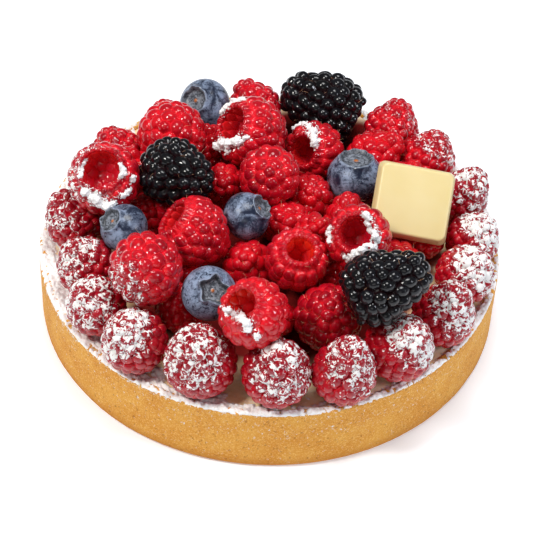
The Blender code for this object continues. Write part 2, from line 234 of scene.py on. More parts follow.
# %% Helper for turned shapes
def turned_mesh(name, outline, around, relief):
    """A closed mesh turned from an outline of (radius, height) in mm. relief(point) gives
    how far each point moves outwards, in mm."""
    outline = np.array(outline, dtype=float)
    step = np.gradient(outline, axis=0)
    step /= np.linalg.norm(step, axis=1)[:, None] + 1e-9
    normal = np.stack([step[:, 1], -step[:, 0]], axis=1)
    angles = np.linspace(0.0, 2.0 * math.pi, around, endpoint=False)
    cosine, sine = np.cos(angles), np.sin(angles)
    points, faces = [], []
    for row in range(1, len(outline) - 1):
        (radius, height), (out, up) = outline[row], normal[row]
        for c, s in zip(cosine, sine):
            push = relief(Vector((radius * c, radius * s, height)))
            r = radius + push * out
            points.append((r * c * MM, r * s * MM, (height + push * up) * MM))
    rows = len(outline) - 2
    first, last = len(points), len(points) + 1
    points.append((0.0, 0.0, outline[0][1] * MM))
    points.append((0.0, 0.0, outline[-1][1] * MM))
    for k in range(around):
        n = (k + 1) % around
        faces.append((first, k, n))
        faces.append((last, (rows - 1) * around + n, (rows - 1) * around + k))
        for row in range(rows - 1):
            a = row * around
            faces.append((a + k, a + around + k, a + around + n, a + n))
    mesh = bpy.data.meshes.new(name)
    mesh.from_pydata(points, [], faces)
    return mesh


def facing_out(mesh):
    """Turn every face of a closed mesh outwards."""
    bm = bmesh.new()
    bm.from_mesh(mesh)
    bmesh.ops.recalc_face_normals(bm, faces=list(bm.faces))
    bm.to_mesh(mesh)
    bm.free()


def add_piece(name, mesh, material, replaced=(), smooth_angle=180.0):
    """Put a piece on the tart: it rides on the root and stands for the named solids."""
    mesh.materials.append(material)
    mesh.shade_smooth()
    if smooth_angle < 180.0:
        mesh.set_sharp_from_angle(angle=math.radians(smooth_angle))
    piece = bpy.data.objects.new(name, mesh)
    bpy.context.scene.collection.objects.link(piece)
    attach(piece, "root")
    if replaced:
        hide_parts(*replaced)
    return piece


def set_values(mesh, name, values, domain="POINT"):
    """Keep a number for each point or face, for a material to read."""
    attribute = mesh.attributes.new(name, "FLOAT", domain)
    attribute.data.foreach_set("value", np.asarray(values, dtype=np.float32))


def rolling(point, size, depth=2):
    """Smooth unevenness from -1 to 1 with bumps of about this size in mm."""
    return noise.fractal(point / size, 0.6, 2.0, depth, noise_basis="PERLIN_ORIGINAL")


def clumps(point, size):
    """Noise from about -1 to 1 with blots of about half this size in mm and ragged edges."""
    return 2.2 * noise.noise(point / size) + 1.3 * noise.noise(point / size * 2.3)


SUGAR_PATCHES = 0.13      # how much the large patches add to or take from the share of white


def sugar_value(wanted, patch):
    """A mesh's sugar value, the share of white, for a wanted share and a patch value."""
    return min(1.0, max(0.0, wanted + SUGAR_PATCHES * patch * min(1.0, max(0.0, 2.0 * wanted))))


def sugar_thickness(value, most):
    """How thick the sugar lies in mm where the share of white is this."""
    share = min(1.0, max(0.0, (value - 0.30) / 0.5))
    return most * share * (2.0 - share)


# %% [markdown]
# ## Icing sugar
# Icing sugar is sucrose ground to a powder of about 0.02 mm. Sieved over the tart it lies in
# ragged white patches. Each grain scatters light in all directions, so the powder is matte
# and the brightest thing on the tart. On a berry it is a layer of the skin's own material:
# each point of the skin keeps how much sugar fell there, and fine noise tears the edge.

# %% Icing sugar as a layer
SUGAR_WHITE = "ececea"
DUST_PINK = "c8a0b4"
DUST_CREAM = "f2e2d0"
# mm between flakes, whose edges are four times finer. Real flakes are smaller: these are
# drawn coarser, because finer ones blur to grey at this picture's size.
FLAKE = 1.7


def sugar_layer(tree, place, skin, flake=FLAKE, thin_colour=DUST_PINK):
    """Colour of a skin with sugar on it, and where the sugar hides it. The mesh's 'sugar'
    values are the share of white. Round each flake a thin dust remains."""
    amount = add_node(tree, "Attribute", {"attribute_name": "sugar"}).outputs["Fac"]
    flakes = add_node(tree, "TexNoise", None, {
        "Vector": place, "Scale": 1.0 / (flake * MM), "Detail": 2.0, "Roughness": 0.70,
        "Distortion": 0.9,
    }).outputs["Fac"]
    torn = add_node(
        tree, "Math", {"operation": "MULTIPLY_ADD"}, {0: amount, 1: 0.45, 2: flakes}
    ).outputs[0]
    present = ramp(tree, amount, 0.03, 0.12)
    white, thin = (
        add_node(tree, "Math", {"operation": "MULTIPLY"}, {0: present, 1: part}).outputs[0]
        for part in (ramp(tree, torn, 0.715, 0.735), ramp(tree, torn, 0.65, 0.73, 0.0, 0.22))
    )
    dusty = mix_colour(tree, thin, skin, linear(thin_colour))
    return mix_colour(tree, white, dusty, linear(SUGAR_WHITE)), white


def own_place(tree):
    """The surface's own coordinates in metres, which move with the piece."""
    return add_node(tree, "TexCoord").outputs["Object"]


def powder_material(name, shaded, lit, grain):
    """Loose icing sugar: white, fully rough, a little light passes under it, with painted shade
    between its grains.
    """
    material, tree, shader = new_material(name)
    place = own_place(tree)
    grit = add_node(tree, "TexNoise", None, {
        "Vector": place, "Scale": 1.0 / (grain * MM), "Detail": 3.0,
    }).outputs["Fac"]
    bump = add_node(tree, "Bump", None, {"Strength": 0.8, "Distance": 0.25 * MM, "Height": grit})
    # painted shade: the grit noise mixes the shaded grey-white between grains with the lit white
    colour = mix_colour(tree, ramp(tree, grit, 0.32, 0.50), linear(shaded), linear(lit))
    set_shader(tree, shader, {
        "Base Color": colour, "Roughness": 1.0, "Specular IOR Level": 0.1,
        "Normal": bump.outputs["Normal"],
        "Subsurface Weight": 0.15, "Subsurface Radius": (1.0, 1.0, 1.0),
        "Subsurface Scale": 0.4 * MM,
    })
    return material


loose_sugar = powder_material("loose_icing_sugar", "dddbde", "f4f4f5", 0.35)
drift_sugar = powder_material("drifted_icing_sugar", "ebe5de", "f8f8f7", 0.7)
print(f"{loose_sugar.name} and {drift_sugar.name}")

# %% [markdown]
# ## Crust
# Sweet shortcrust, pressed into a ring and baked until golden. The ring leaves the side
# straight and fine-grained like sandstone, with crumbs of 0.5 to 1 mm, small pits where
# butter melted, and a darker foot where the tray was hot. The sugar lies on the rim and
# spills over its outer edge.

# %% Crust
CRUST_RADIUS, CRUST_HEIGHT = 80.0, 26.0
CRUST_WALL, CRUST_FLOOR = 3.0, 4.0
CRUST_FOOT_ROUND, CRUST_RIM_ROUND = 2.0, 1.0
ROUND_TURNS = 600


def corner(x, z, radius, start, stop, steps):
    """Points on a rounded corner."""
    angles = np.radians(np.linspace(start, stop, steps + 1))
    return [(x + radius * math.cos(a), z + radius * math.sin(a)) for a in angles]


def line(start, stop, step):
    """Points between two others, without the two ends."""
    start, stop = np.array(start), np.array(stop)
    count = max(2, round(float(np.linalg.norm(stop - start)) / step))
    return [tuple(start + (stop - start) * k / count) for k in range(1, count)]


def crust_outline():
    """Half of the crust's section, from the middle of its floor to the middle below."""
    inside = CRUST_RADIUS - CRUST_WALL
    rim, foot = CRUST_RIM_ROUND, CRUST_FOOT_ROUND
    top = CRUST_HEIGHT
    points = [(0.0, CRUST_FLOOR), (30.0, CRUST_FLOOR), (inside, CRUST_FLOOR)]
    points += line((inside, CRUST_FLOOR), (inside, top - rim), 3.0)
    points += corner(inside + rim, top - rim, rim, 180, 90, 4)
    points += line((inside + rim, top), (CRUST_RADIUS - rim, top), 0.4)
    points += corner(CRUST_RADIUS - rim, top - rim, rim, 90, 0, 5)
    points += line((CRUST_RADIUS, top - rim), (CRUST_RADIUS, foot), 0.5)
    points += corner(CRUST_RADIUS - foot, foot, foot, 0, -90, 6)
    points += [(60.0, 0.0), (30.0, 0.0), (0.0, 0.0)]
    return points


HEAVY_SIDE = math.radians(205.0)      # most sugar fell at the left, a little to the front
RIM_DEPTH, FLECKS_THIN, FLECKS_END = 1.2, 12.0, 24.0    # mm below the top of the rim


def drift(turn):
    """How much sugar fell on this side, from 0.2 to 1."""
    return 0.6 + 0.4 * math.cos(turn - HEAVY_SIDE)


def rim_sugar(point):
    """How much thin sugar fell on the crust here: on the rim, and rare flecks down the side."""
    radius = math.hypot(point.x, point.y)
    below = CRUST_HEIGHT - point.z
    if radius < CRUST_RADIUS - CRUST_WALL or below > FLECKS_END:
        return 0.0
    if below > RIM_DEPTH:
        return 0.12 if below < FLECKS_THIN else 0.08
    heavy = drift(math.atan2(point.y, point.x))
    return sugar_value(0.06 + 0.24 * heavy ** 2, clumps(point, 2.0))


def crust_relief(point):
    """Unevenness of baked dough in mm."""
    if point.z < CRUST_FOOT_ROUND * 0.5:
        return 0.0
    wave = 0.16 * rolling(point, 18.0)
    crumb = 0.06 * rolling(point, 1.3, 3)
    pit = -0.22 * max(0.0, rolling(point, 2.2, 1) - 0.42)
    return wave + crumb + pit


def pastry_material():
    """Baked shortcrust: matte, sandy, golden, browner at the foot, with small specks."""
    material, tree, shader = new_material("baked_shortcrust")
    place = own_place(tree)
    broad = add_node(tree, "TexNoise", None, {
        "Vector": place, "Scale": 1.0 / (11.0 * MM), "Detail": 4.0,
    }).outputs["Fac"]
    sand = add_node(tree, "TexNoise", None, {
        "Vector": place, "Scale": 1.0 / (0.6 * MM), "Detail": 3.0, "Roughness": 0.75,
    }).outputs["Fac"]
    grain = add_node(tree, "TexVoronoi", None, {
        "Vector": place, "Scale": 1.0 / (0.6 * MM), "Randomness": 1.0,
    }).outputs["Distance"]
    speck = add_node(tree, "TexNoise", None, {
        "Vector": place, "Scale": 1.0 / (1.1 * MM), "Detail": 1.0,
    }).outputs["Fac"]
    height = add_node(tree, "SeparateXYZ", None, {0: place}).outputs["Z"]
    foot = ramp(tree, height, 0.5 * MM, 6.0 * MM, 0.8, 0.0)
    golden = mix_colour(
        tree, ramp(tree, broad, 0.30, 0.70), linear("cd872a"), linear("d99b3e")
    )
    sandy = mix_colour(tree, ramp(tree, sand, 0.46, 0.70), golden, linear("ebbf70"))
    browned = mix_colour(tree, foot, sandy, linear("c27e2c"))
    specked = mix_colour(
        tree, ramp(tree, speck, 0.66, 0.71, 0.0, 0.60), browned, linear("9c5a1e")
    )
    colour, white = sugar_layer(tree, place, specked, 0.9, DUST_CREAM)
    baked = add_node(
        tree, "Math", {"operation": "MULTIPLY_ADD"}, {0: grain, 1: 0.6, 2: sand}
    ).outputs[0]
    height_sum = add_node(
        tree, "Math", {"operation": "MULTIPLY_ADD"}, {0: white, 1: 1.5, 2: baked}
    ).outputs[0]
    bump = add_node(
        tree, "Bump", None, {"Strength": 0.7, "Distance": 0.2 * MM, "Height": height_sum}
    )
    set_shader(tree, shader, {
        "Base Color": colour, "Roughness": 0.85, "Specular IOR Level": 0.25,
        "Normal": bump.outputs["Normal"],
    })
    return material


crust_mesh = turned_mesh("crust", crust_outline(), ROUND_TURNS, crust_relief)
facing_out(crust_mesh)
set_values(crust_mesh, "sugar", [rim_sugar(v.co / MM) for v in crust_mesh.vertices])
crust = add_piece("crust", crust_mesh, pastry_material(), ["tart_shell"])
print(f"{crust.name}: {len(crust_mesh.polygons)} faces")

# %% [markdown]
# ## Almond cream
# Ground almonds, butter, sugar and egg, baked in the crust. It comes out tan, slightly
# rough and dented, with a damp reddish tint where berries weep on it; under the heap that
# tint is dark red and is also painted shade. The strip next to the rim caught some of the
# sugar.

# %% Almond cream
CREAM_LEVEL, CREAM_SWELL, CREAM_SWELL_RADIUS = 25.0, 4.5, 58.0
CREAM_EDGE = CRUST_RADIUS - CRUST_WALL
CREAM_TURNS = 420
CREAM_STRIP = 14.0        # mm, width of the strip inside the crust that sugar can reach


def cream_height(radius):
    """Height of the cream at a distance from the middle: level, with a gentle swell."""
    share = min(1.0, radius / CREAM_SWELL_RADIUS)
    return CREAM_LEVEL + CREAM_SWELL * 0.5 * (1.0 + math.cos(math.pi * share))


def cream_relief(point):
    """Dents and crumbs of the baked surface in mm."""
    if point.z < CREAM_LEVEL - 0.5:
        return 0.0
    return 0.35 * rolling(point, 5.0, 3) + 0.10 * rolling(point, 1.2, 2)


def cream_sugar(point):
    """Sugar on the strip of cream next to the rim, in drifts, widest at the left."""
    radius = math.hypot(point.x, point.y)
    if point.z < CREAM_LEVEL - 1.0 or radius < CREAM_EDGE - CREAM_STRIP:
        return 0.0
    from_rim = CREAM_EDGE - radius
    heavy = drift(math.atan2(point.y, point.x)) ** 5
    uneven = rolling(Vector((point.x, point.y, 3.0)), 9.0)
    wanted = min(0.40, 0.02 - 0.02 * from_rim + 0.40 * heavy + 0.25 * uneven)
    return sugar_value(wanted, clumps(point, 2.4))


JUICE_AND_SHADE_EDGE, JUICE_AND_SHADE_FADE = 60.0, 5.0   # mm from the middle that the juice stain and painted shade reach, and their fade
JUICE_AND_SHADE_AT_BACK = 11.0      # mm further out at the back, where painted shade darkens cream that few berries cover


def cream_juice_and_shade(point):
    """How far the juice stain and painted shade reach: all of the middle, not the strip."""
    radius = math.hypot(point.x, point.y)
    edge = JUICE_AND_SHADE_EDGE + 4.0 * rolling(Vector((point.x, point.y, 9.0)), 10.0)
    if radius:
        right = max(0.0, point.x / radius)
        edge += JUICE_AND_SHADE_AT_BACK * max(0.0, point.y / radius) * (1.0 + 1.4 * right)
    return min(1.0, max(0.0, (edge - radius) / JUICE_AND_SHADE_FADE))


def cream_material():
    """Baked almond cream: tan, matte, with pale crumbs, and pink where juice soaked in and shade
    is painted.
    """
    material, tree, shader = new_material("baked_almond_cream")
    place = own_place(tree)
    broad = add_node(tree, "TexNoise", None, {
        "Vector": place, "Scale": 1.0 / (6.0 * MM), "Detail": 5.0,
    }).outputs["Fac"]
    crumb = add_node(tree, "TexNoise", None, {
        "Vector": place, "Scale": 1.0 / (0.8 * MM), "Detail": 3.0,
    }).outputs["Fac"]
    juice = add_node(tree, "Attribute", {"attribute_name": "juice"}).outputs["Fac"]
    tan = mix_colour(tree, ramp(tree, broad, 0.35, 0.65), linear("f2d0a0"), linear("f6dfbc"))
    pale = mix_colour(tree, ramp(tree, crumb, 0.55, 0.80), tan, linear("f9e9cf"))
    # juice stain and painted shade: the cream under the heap is dark red
    juiced_and_shaded = mix_colour(tree, juice, pale, linear("6a1210"))
    colour, white = sugar_layer(tree, place, juiced_and_shaded, 1.0, DUST_CREAM)
    height = add_node(
        tree, "Math", {"operation": "MULTIPLY_ADD"}, {0: white, 1: 0.8, 2: crumb}
    ).outputs[0]
    bump = add_node(
        tree, "Bump", None, {"Strength": 0.5, "Distance": 0.3 * MM, "Height": height}
    )
    set_shader(tree, shader, {
        "Base Color": colour, "Roughness": 0.7, "Specular IOR Level": 0.06,
        "Normal": bump.outputs["Normal"],
        "Subsurface Weight": 0.30, "Subsurface Radius": (1.0, 0.7, 0.4),
        "Subsurface Scale": 2.0 * MM,
    })
    return material


def cream_outline():
    """Half of the cream's section, from the middle on top to the middle below."""
    bottom = CRUST_FLOOR + 0.35
    points = [(0.0, cream_height(0.0))]
    for radius in [*np.arange(2.0, 58.0, 2.0), *np.arange(58.0, CREAM_EDGE, 0.6)]:
        points.append((float(radius), cream_height(radius)))
    points += [(CREAM_EDGE, CREAM_LEVEL - 0.2), (CREAM_EDGE, CREAM_LEVEL - 1.2)]
    points += [(CREAM_EDGE, bottom), (40.0, bottom), (0.0, bottom)]
    return points


cream_mesh = turned_mesh("cream", cream_outline(), CREAM_TURNS, cream_relief)
facing_out(cream_mesh)
print(f"cream: {len(cream_mesh.polygons)} faces")

# %% [markdown]
# ## Drifts of sugar
# Along the rim the sugar lies in crumbly drifts, about a millimetre deep, that end in ragged
# edges. Painting them on would leave them flat. So they are one thin ring that follows the
# rim and the strip of cream, and a noise lifts it out of them or sinks it into them. The
# ragged edges are where it comes out.

# %% Drifts of sugar
DRIFT_INNER, DRIFT_OUTER, DRIFT_STEP = 65.5, 80.0, 0.38
DRIFT_TURNS = 1200
DRIFT_DEEPEST, DRIFT_SUNK = 1.4, -1.6
DRIFT_SLOPE = 3.0         # mm inside the rim over which the ring rises from cream to rim


def baked_height(point, radius):
    """Height in mm that the sugar's depth counts from: the cream, the rim, and a slope that
    fills the corner between them."""
    rim_inside = CRUST_RADIUS - CRUST_WALL
    low = cream_height(radius) + cream_relief(point)
    share = min(1.0, max(0.0, (radius - rim_inside + DRIFT_SLOPE) / DRIFT_SLOPE))
    fall = max(0.0, CRUST_RIM_ROUND - (CRUST_RADIUS - radius))
    rounded = CRUST_RIM_ROUND - math.sqrt(CRUST_RIM_ROUND ** 2 - fall ** 2)
    high = CRUST_HEIGHT - rounded + crust_relief(Vector((point.x, point.y, CRUST_HEIGHT)))
    return low * (1.0 - share) + high * share


def drift_depth(point, radius):
    """Depth of the sugar in mm: below zero where there is none. It lies on the rim all round,
    and on the cream behind a bare line along the rim's inner edge."""
    heavy = drift(math.atan2(point.y, point.x))
    swing = rolling(Vector((point.x, point.y, 3.0)), 10.0)
    inwards = CRUST_RADIUS - radius
    # it thins towards the outer edge, on the rim also inwards, and on the cream where it ends
    outer = 0.95 + 0.9 * inwards + 0.9 * rolling(Vector((point.x, point.y, 5.0)), 2.2)
    spread = CRUST_WALL - 0.5 + 0.8 * swing
    on_rim = min(1.0, outer, (spread - inwards) / 0.5) * (0.80 + 0.24 * heavy + 0.5 * swing)
    reach = (1.5 + 9.5 * heavy ** 5 + 5.0 * swing - inwards) / 1.5
    bare = 1.8 * math.exp(-((inwards - CRUST_WALL) / 0.7) ** 2) * (1.0 - heavy ** 8)
    on_cream = min(1.0, outer, reach) * (0.50 + 0.42 * heavy + 0.6 * swing) - bare
    amount = max(-1.5, on_rim, on_cream)
    torn = 0.18 * clumps(Vector((point.x, point.y, 7.0)), 2.4)
    crumb = 0.70 * noise.noise(Vector((point.x, point.y, 1.0)) / 1.4)
    grain = 0.80 * noise.noise(Vector((point.x, point.y, 2.0)) / 0.8)
    return 0.65 * (amount - 0.26) + torn + crumb + grain


def drift_mesh():
    """The ring of sugar: rows of points over the rim and the cream, closed below."""
    radii = np.arange(DRIFT_INNER, DRIFT_OUTER, DRIFT_STEP)
    turns = np.linspace(0.0, 2.0 * math.pi, DRIFT_TURNS, endpoint=False)
    points = []
    for row, radius in enumerate(radii):
        edge = row == 0
        for turn in turns:
            place = Vector((radius * math.cos(turn), radius * math.sin(turn), CREAM_LEVEL))
            depth = DRIFT_SUNK if edge else drift_depth(place, radius)
            depth = min(DRIFT_DEEPEST, max(DRIFT_SUNK, depth))
            points.append((place.x, place.y, baked_height(place, radius) + depth))
    for radius in (radii[-1] - 0.6, radii[0]):
        for turn in turns:
            below = baked_height(Vector((radius, 0.0, CREAM_LEVEL)), radius) - 1.5
            points.append((radius * math.cos(turn), radius * math.sin(turn), below))
    rows = len(radii) + 2
    faces = []
    for row in range(rows):
        low, high = row * DRIFT_TURNS, (row + 1) % rows * DRIFT_TURNS
        for k in range(DRIFT_TURNS):
            n = (k + 1) % DRIFT_TURNS
            faces.append((low + k, high + k, high + n, low + n))
    mesh = bpy.data.meshes.new("drifts")
    mesh.from_pydata([(x * MM, y * MM, z * MM) for x, y, z in points], [], faces)
    facing_out(mesh)
    return mesh


drifts = add_piece("sugar_drifts", drift_mesh(), drift_sugar)
print(f"drifts: {len(drifts.data.polygons)} faces")

# %% [markdown]
# ## Where each berry lies
# A raspberry has no stalk of its own, so all that says how it lies is the way its tip
# points. The table repeats, for each solid, the full width and length in mm, the turn and
# rise of the tip in degrees, and the hollow's radius as a share of the berry's. The place
# itself is read from the solid.

# %% Tables of the berries
RASPBERRIES = [
    # the ring on the rim, from the left round the front to the back
    (20.0, 21.0, 170, 62, 0), (20.0, 20.0, 190, 60, 0), (20.0, 20.0, 215, 62, 0),
    (21.5, 23.5, 235, 68, 0), (23.5, 27.0, 250, 76, 0), (22.5, 24.5, 290, 72, 0),
    (21.0, 26.0, 300, 78, 0), (22.5, 24.0, 320, 64, 0), (21.0, 25.0, 320, 74, 0),
    (20.0, 20.0, 340, 62, 0), (18.5, 19.0, 0, 65, 0), (19.0, 21.0, 20, 60, 0),
    (20.0, 20.0, 40, 60, 0), (20.0, 20.5, 55, 62, 0), (19.5, 20.0, 140, 50, 0),
    (17.0, 18.0, 120, 60, 0), (20.0, 20.0, 150, 60, 0), (17.0, 18.0, 160, 60, 0),
    # on the cream, seen between those above
    (17.0, 20.0, 270, 50, 0), (18.0, 20.0, 250, 60, 0), (22.5, 24.0, 270, 65, 0),
    (17.5, 18.0, 100, 60, 0), (17.0, 17.0, 200, 40, 0), (17.0, 17.0, 270, 60, 0),
    (19.0, 21.0, 10, 40, 0), (16.5, 17.0, 300, 60, 0), (17.0, 17.0, 250, 60, 0),
    (13.0, 13.0, 250, 60, 0), (17.0, 17.0, 250, 60, 0), (15.0, 16.0, 150, 60, 0),
    (16.0, 16.0, 120, 60, 0), (13.0, 14.0, 300, 60, 0), (16.0, 16.0, 300, 60, 0),
    (13.0, 13.0, 270, 60, 0), (18.0, 18.0, 30, 60, 0), (17.5, 18.0, 0, 60, 0),
    # on top of the heap, tip up
    (24.5, 22.0, 250, 55, 0), (21.0, 20.0, 270, 50, 0), (24.0, 24.0, 250, 48, 0),
    # on top of the heap, hollow up
    (24.5, 20.0, 81, -62, 0.50), (25.5, 24.0, 20, -40, 0.42), (21.0, 21.0, 48, -31, 0.40),
    (23.5, 24.0, -4, -41, 0.42), (21.0, 20.0, 112, -71, 0.36), (22.5, 22.0, 35, -52, 0.42),
    (22.0, 19.0, 75, -53, 0.46),
]
# the others; a blueberry's crown is its tip
BRAMBLES = [(23.5, 27.0, -42, 15, 0), (27.0, 30.5, 163, 18, 0), (24.0, 29.0, 20, 15, 0)]
BLUEBERRIES = [
    (19.0, 17.2, 229, 44, 0), (16.5, 14.8, -4, 44, 0), (16.5, 14.8, 202, 49, 0),
    (18.0, 16.2, -71, 53, 0), (19.6, 17.6, 90, 80, 0),
]


def tip_direction(turn, rise):
    """Unit vector from a berry's base to its tip."""
    turn, rise = math.radians(turn), math.radians(rise)
    level = math.cos(rise)
    return Vector((math.cos(turn) * level, math.sin(turn) * level, math.sin(rise)))


def own_frame(node, turn, rise):
    """Matrix to a solid's place from its own frame, with +Z from base to tip, in mm."""
    axes = tip_direction(turn, rise).to_track_quat("Z", "Y").to_matrix()
    mesh = frame["nodes"][node].data
    mesh.calc_loop_triangles()
    points = np.array([v.co for v in mesh.vertices]) @ np.array(axes) / MM
    corners = points[np.array([t.vertices for t in mesh.loop_triangles])]
    sides = np.cross(corners[:, 1] - corners[:, 0], corners[:, 2] - corners[:, 0])
    area = np.linalg.norm(sides, axis=1)
    middle = (corners.mean(axis=1) * area[:, None]).sum(axis=0) / area.sum()
    middle[2] = (points[:, 2].min() + points[:, 2].max()) / 2.0
    return axes, Vector(np.array(axes) @ middle)


# %% [markdown]
# ## A berry from its beads
# A raspberry is a cluster of drupelets, little juicy beads that press against each other
# until each is a rounded cushion with six neighbours. Spheres pushed into a core would
# leave hidden faces inside. A bump texture would leave the outline smooth. So the beads'
# middles are shared out over a ball, the hull of these points says which beads are
# neighbours, and each bead gets its own patch of mesh that swells up from the creases.

# %% Helper: outline of a berry
SHOULDER_CUT = 0.76       # the base lies this share of the wide ball's radius below its middle
HOLLOW_SHOULDER_CUT = 0.60    # the same where the berry has a hollow and so a lip
LEAST_LIP = 1.1           # mm, radius of the lip
HOLE_DEPTH = 0.58         # a hollow's depth as a share of the length


def smoothed(points, times):
    """Cut the corners of a line of points, keeping its ends."""
    points = np.array(points, dtype=float)
    for _ in range(times):
        early = 0.75 * points[:-1] + 0.25 * points[1:]
        late = 0.25 * points[:-1] + 0.75 * points[1:]
        inner = np.stack([early, late], axis=1).reshape(-1, 2)
        points = np.concatenate([points[:1], inner, points[-1:]])
    return points


class Outline:
    """Half of a berry's outline, from its tip to the middle of its base or its hollow."""

    def __init__(self, width, length, tip_share, hole):
        wide = width / 2.0
        small = wide * tip_share
        low = -length / 2.0 + SHOULDER_CUT * wide
        high = max(length / 2.0 - small, low + (wide - small) + 0.1)
        lean = math.asin((wide - small) / (high - low))
        base = -length / 2.0
        points = []
        # the small ball of the tip
        for a in np.linspace(0.0, math.pi / 2 - lean, 9):
            points.append((small * math.sin(a), high + small * math.cos(a)))
        # the wide ball, down to the base or to where the lip begins
        last = math.acos(-HOLLOW_SHOULDER_CUT if hole else -SHOULDER_CUT)
        for a in np.linspace(math.pi / 2 - lean, last, 9)[1:]:
            points.append((wide * math.sin(a), low + wide * math.cos(a)))
        self.lip = None
        if hole:
            # round the lip and up the hollow, which narrows to its floor
            lip = max(0.5 * wide * (0.66 - hole), LEAST_LIP)
            hole_radius = hole * wide
            points += corner(hole_radius + lip, base + lip, lip, -20, -180, 6)
            lip_point = (hole_radius + lip, base)
            floor = base + HOLE_DEPTH * length
            points += [(hole_radius * 0.96, base + 0.22 * length)]
            points += [(hole_radius * 0.84, base + 0.40 * length)]
            points += [(hole_radius * 0.45, floor - 0.03 * length), (0.0, floor)]
        else:
            points += [(0.0, base)]
        self.points = smoothed(points, 2)
        steps = np.linalg.norm(np.diff(self.points, axis=0), axis=1)
        self.along = np.concatenate([[0.0], np.cumsum(steps)])
        self.length = float(self.along[-1])
        if hole:
            away = np.linalg.norm(self.points - np.array(lip_point), axis=1)
            self.lip = float(self.along[away.argmin()]) / self.length

    def at(self, share):
        """Radii, heights and outward normals at shares of the length."""
        place = np.asarray(share) * self.length
        radius, height = (np.interp(place, self.along, line) for line in self.points.T)
        reach = 0.03 * self.length
        before = np.clip(place - reach, 0.0, self.length)
        after = np.clip(place + reach, 0.0, self.length)
        d_radius, d_height = (
            np.interp(after, self.along, line) - np.interp(before, self.along, line)
            for line in self.points.T
        )
        size = np.hypot(d_radius, d_height) + 1e-9
        return radius, height, -d_height / size, d_radius / size

    def place(self, ball):
        """Points and normals in mm for directions of the ball that stands for the berry."""
        share = np.arccos(np.clip(ball[:, 2], -1.0, 1.0)) / math.pi
        turn = np.arctan2(ball[:, 1], ball[:, 0])
        radius, height, out, up = self.at(share)
        cosine, sine = np.cos(turn), np.sin(turn)
        pole = (share < 1e-4) | (share > 1.0 - 1e-4)
        out = np.where(pole, 0.0, out)
        up = np.where(pole, np.sign(up), up)
        points = np.stack([radius * cosine, radius * sine, height], axis=1)
        normals = np.stack([out * cosine, out * sine, up], axis=1)
        return points, normals, share


# %% [markdown]
# The beads of a real berry stand in rough rows round its axis. So the middles are laid in
# staggered rows, each pushed aside a little. Where a berry has a hollow, narrow beads run
# over its lip, and smaller dents follow the core's print inside.

# %% Helper: rows of bead middles
ROW_PITCH = 0.87          # staggered rows lie closer than the beads in a row


def ball_point(share, turn):
    """The direction on the ball for a share of the outline and a turn about the axis."""
    polar = math.pi * share
    level = math.sin(polar)
    return Vector((level * math.cos(turn), level * math.sin(turn), math.cos(polar)))


LIP_WIDTH_SHARE = 0.35    # beads on a hollow's lip are narrow and long, and run over it
LIP_REACH = 0.90          # how far they reach into the hollow, as a share of the pitch
INNER_PITCH_SHARE = 0.55  # the dents that the core left in the hollow are smaller than beads


def bead_middles(outline, pitch, unevenness, rng):
    """Bead middles in staggered rows from the tip to the base, or over the lip."""
    last = outline.lip if outline.lip else 1.0
    rows = max(3, round(outline.length * last / (pitch * ROW_PITCH)))
    start = rng.uniform(0.0, 2.0 * math.pi)
    middles = [ball_point(0.0, 0.0)]
    plan = []
    for row in range(1, rows):
        share = last * row / rows
        radius = float(outline.at(share)[0])
        plan.append((share, max(4, round(2.0 * math.pi * radius / pitch)), unevenness))
    if outline.lip:
        lip_radius = float(outline.at(last)[0])
        count = round(2.0 * math.pi * lip_radius / (pitch * LIP_WIDTH_SHARE))
        plan[-1] = (plan[-1][0] - 0.35 * last / rows, round(1.25 * plan[-1][1]), unevenness)
        plan.append((last, count, unevenness * 0.6))
        step = pitch * INNER_PITCH_SHARE / outline.length
        share = last + LIP_REACH * pitch / outline.length
        while share < 1.0 - 0.5 * step:
            radius = float(outline.at(share)[0])
            around = max(4, round(2.0 * math.pi * radius / (pitch * INNER_PITCH_SHARE)))
            plan.append((share, around, unevenness))
            share += step
    for row, (share, count, uneven) in enumerate(plan):
        for k in range(count):
            shift = rng.uniform(-uneven, uneven, 2)
            turn = start + 2.0 * math.pi * (k + 0.5 * (row % 2) + shift[0]) / count
            down = shift[1] * (last / rows if share <= last else pitch * 0.5 / outline.length)
            middles.append(ball_point(share + down, turn))
    middles.append(ball_point(1.0, 0.0))
    return middles


# %% [markdown]
# Each bead owns the part of the ball that is nearer to its middle than to any other. The
# corners of these parts are the directions of the hull's faces, and neighbours share the
# border between them, so the berry stays one closed skin.

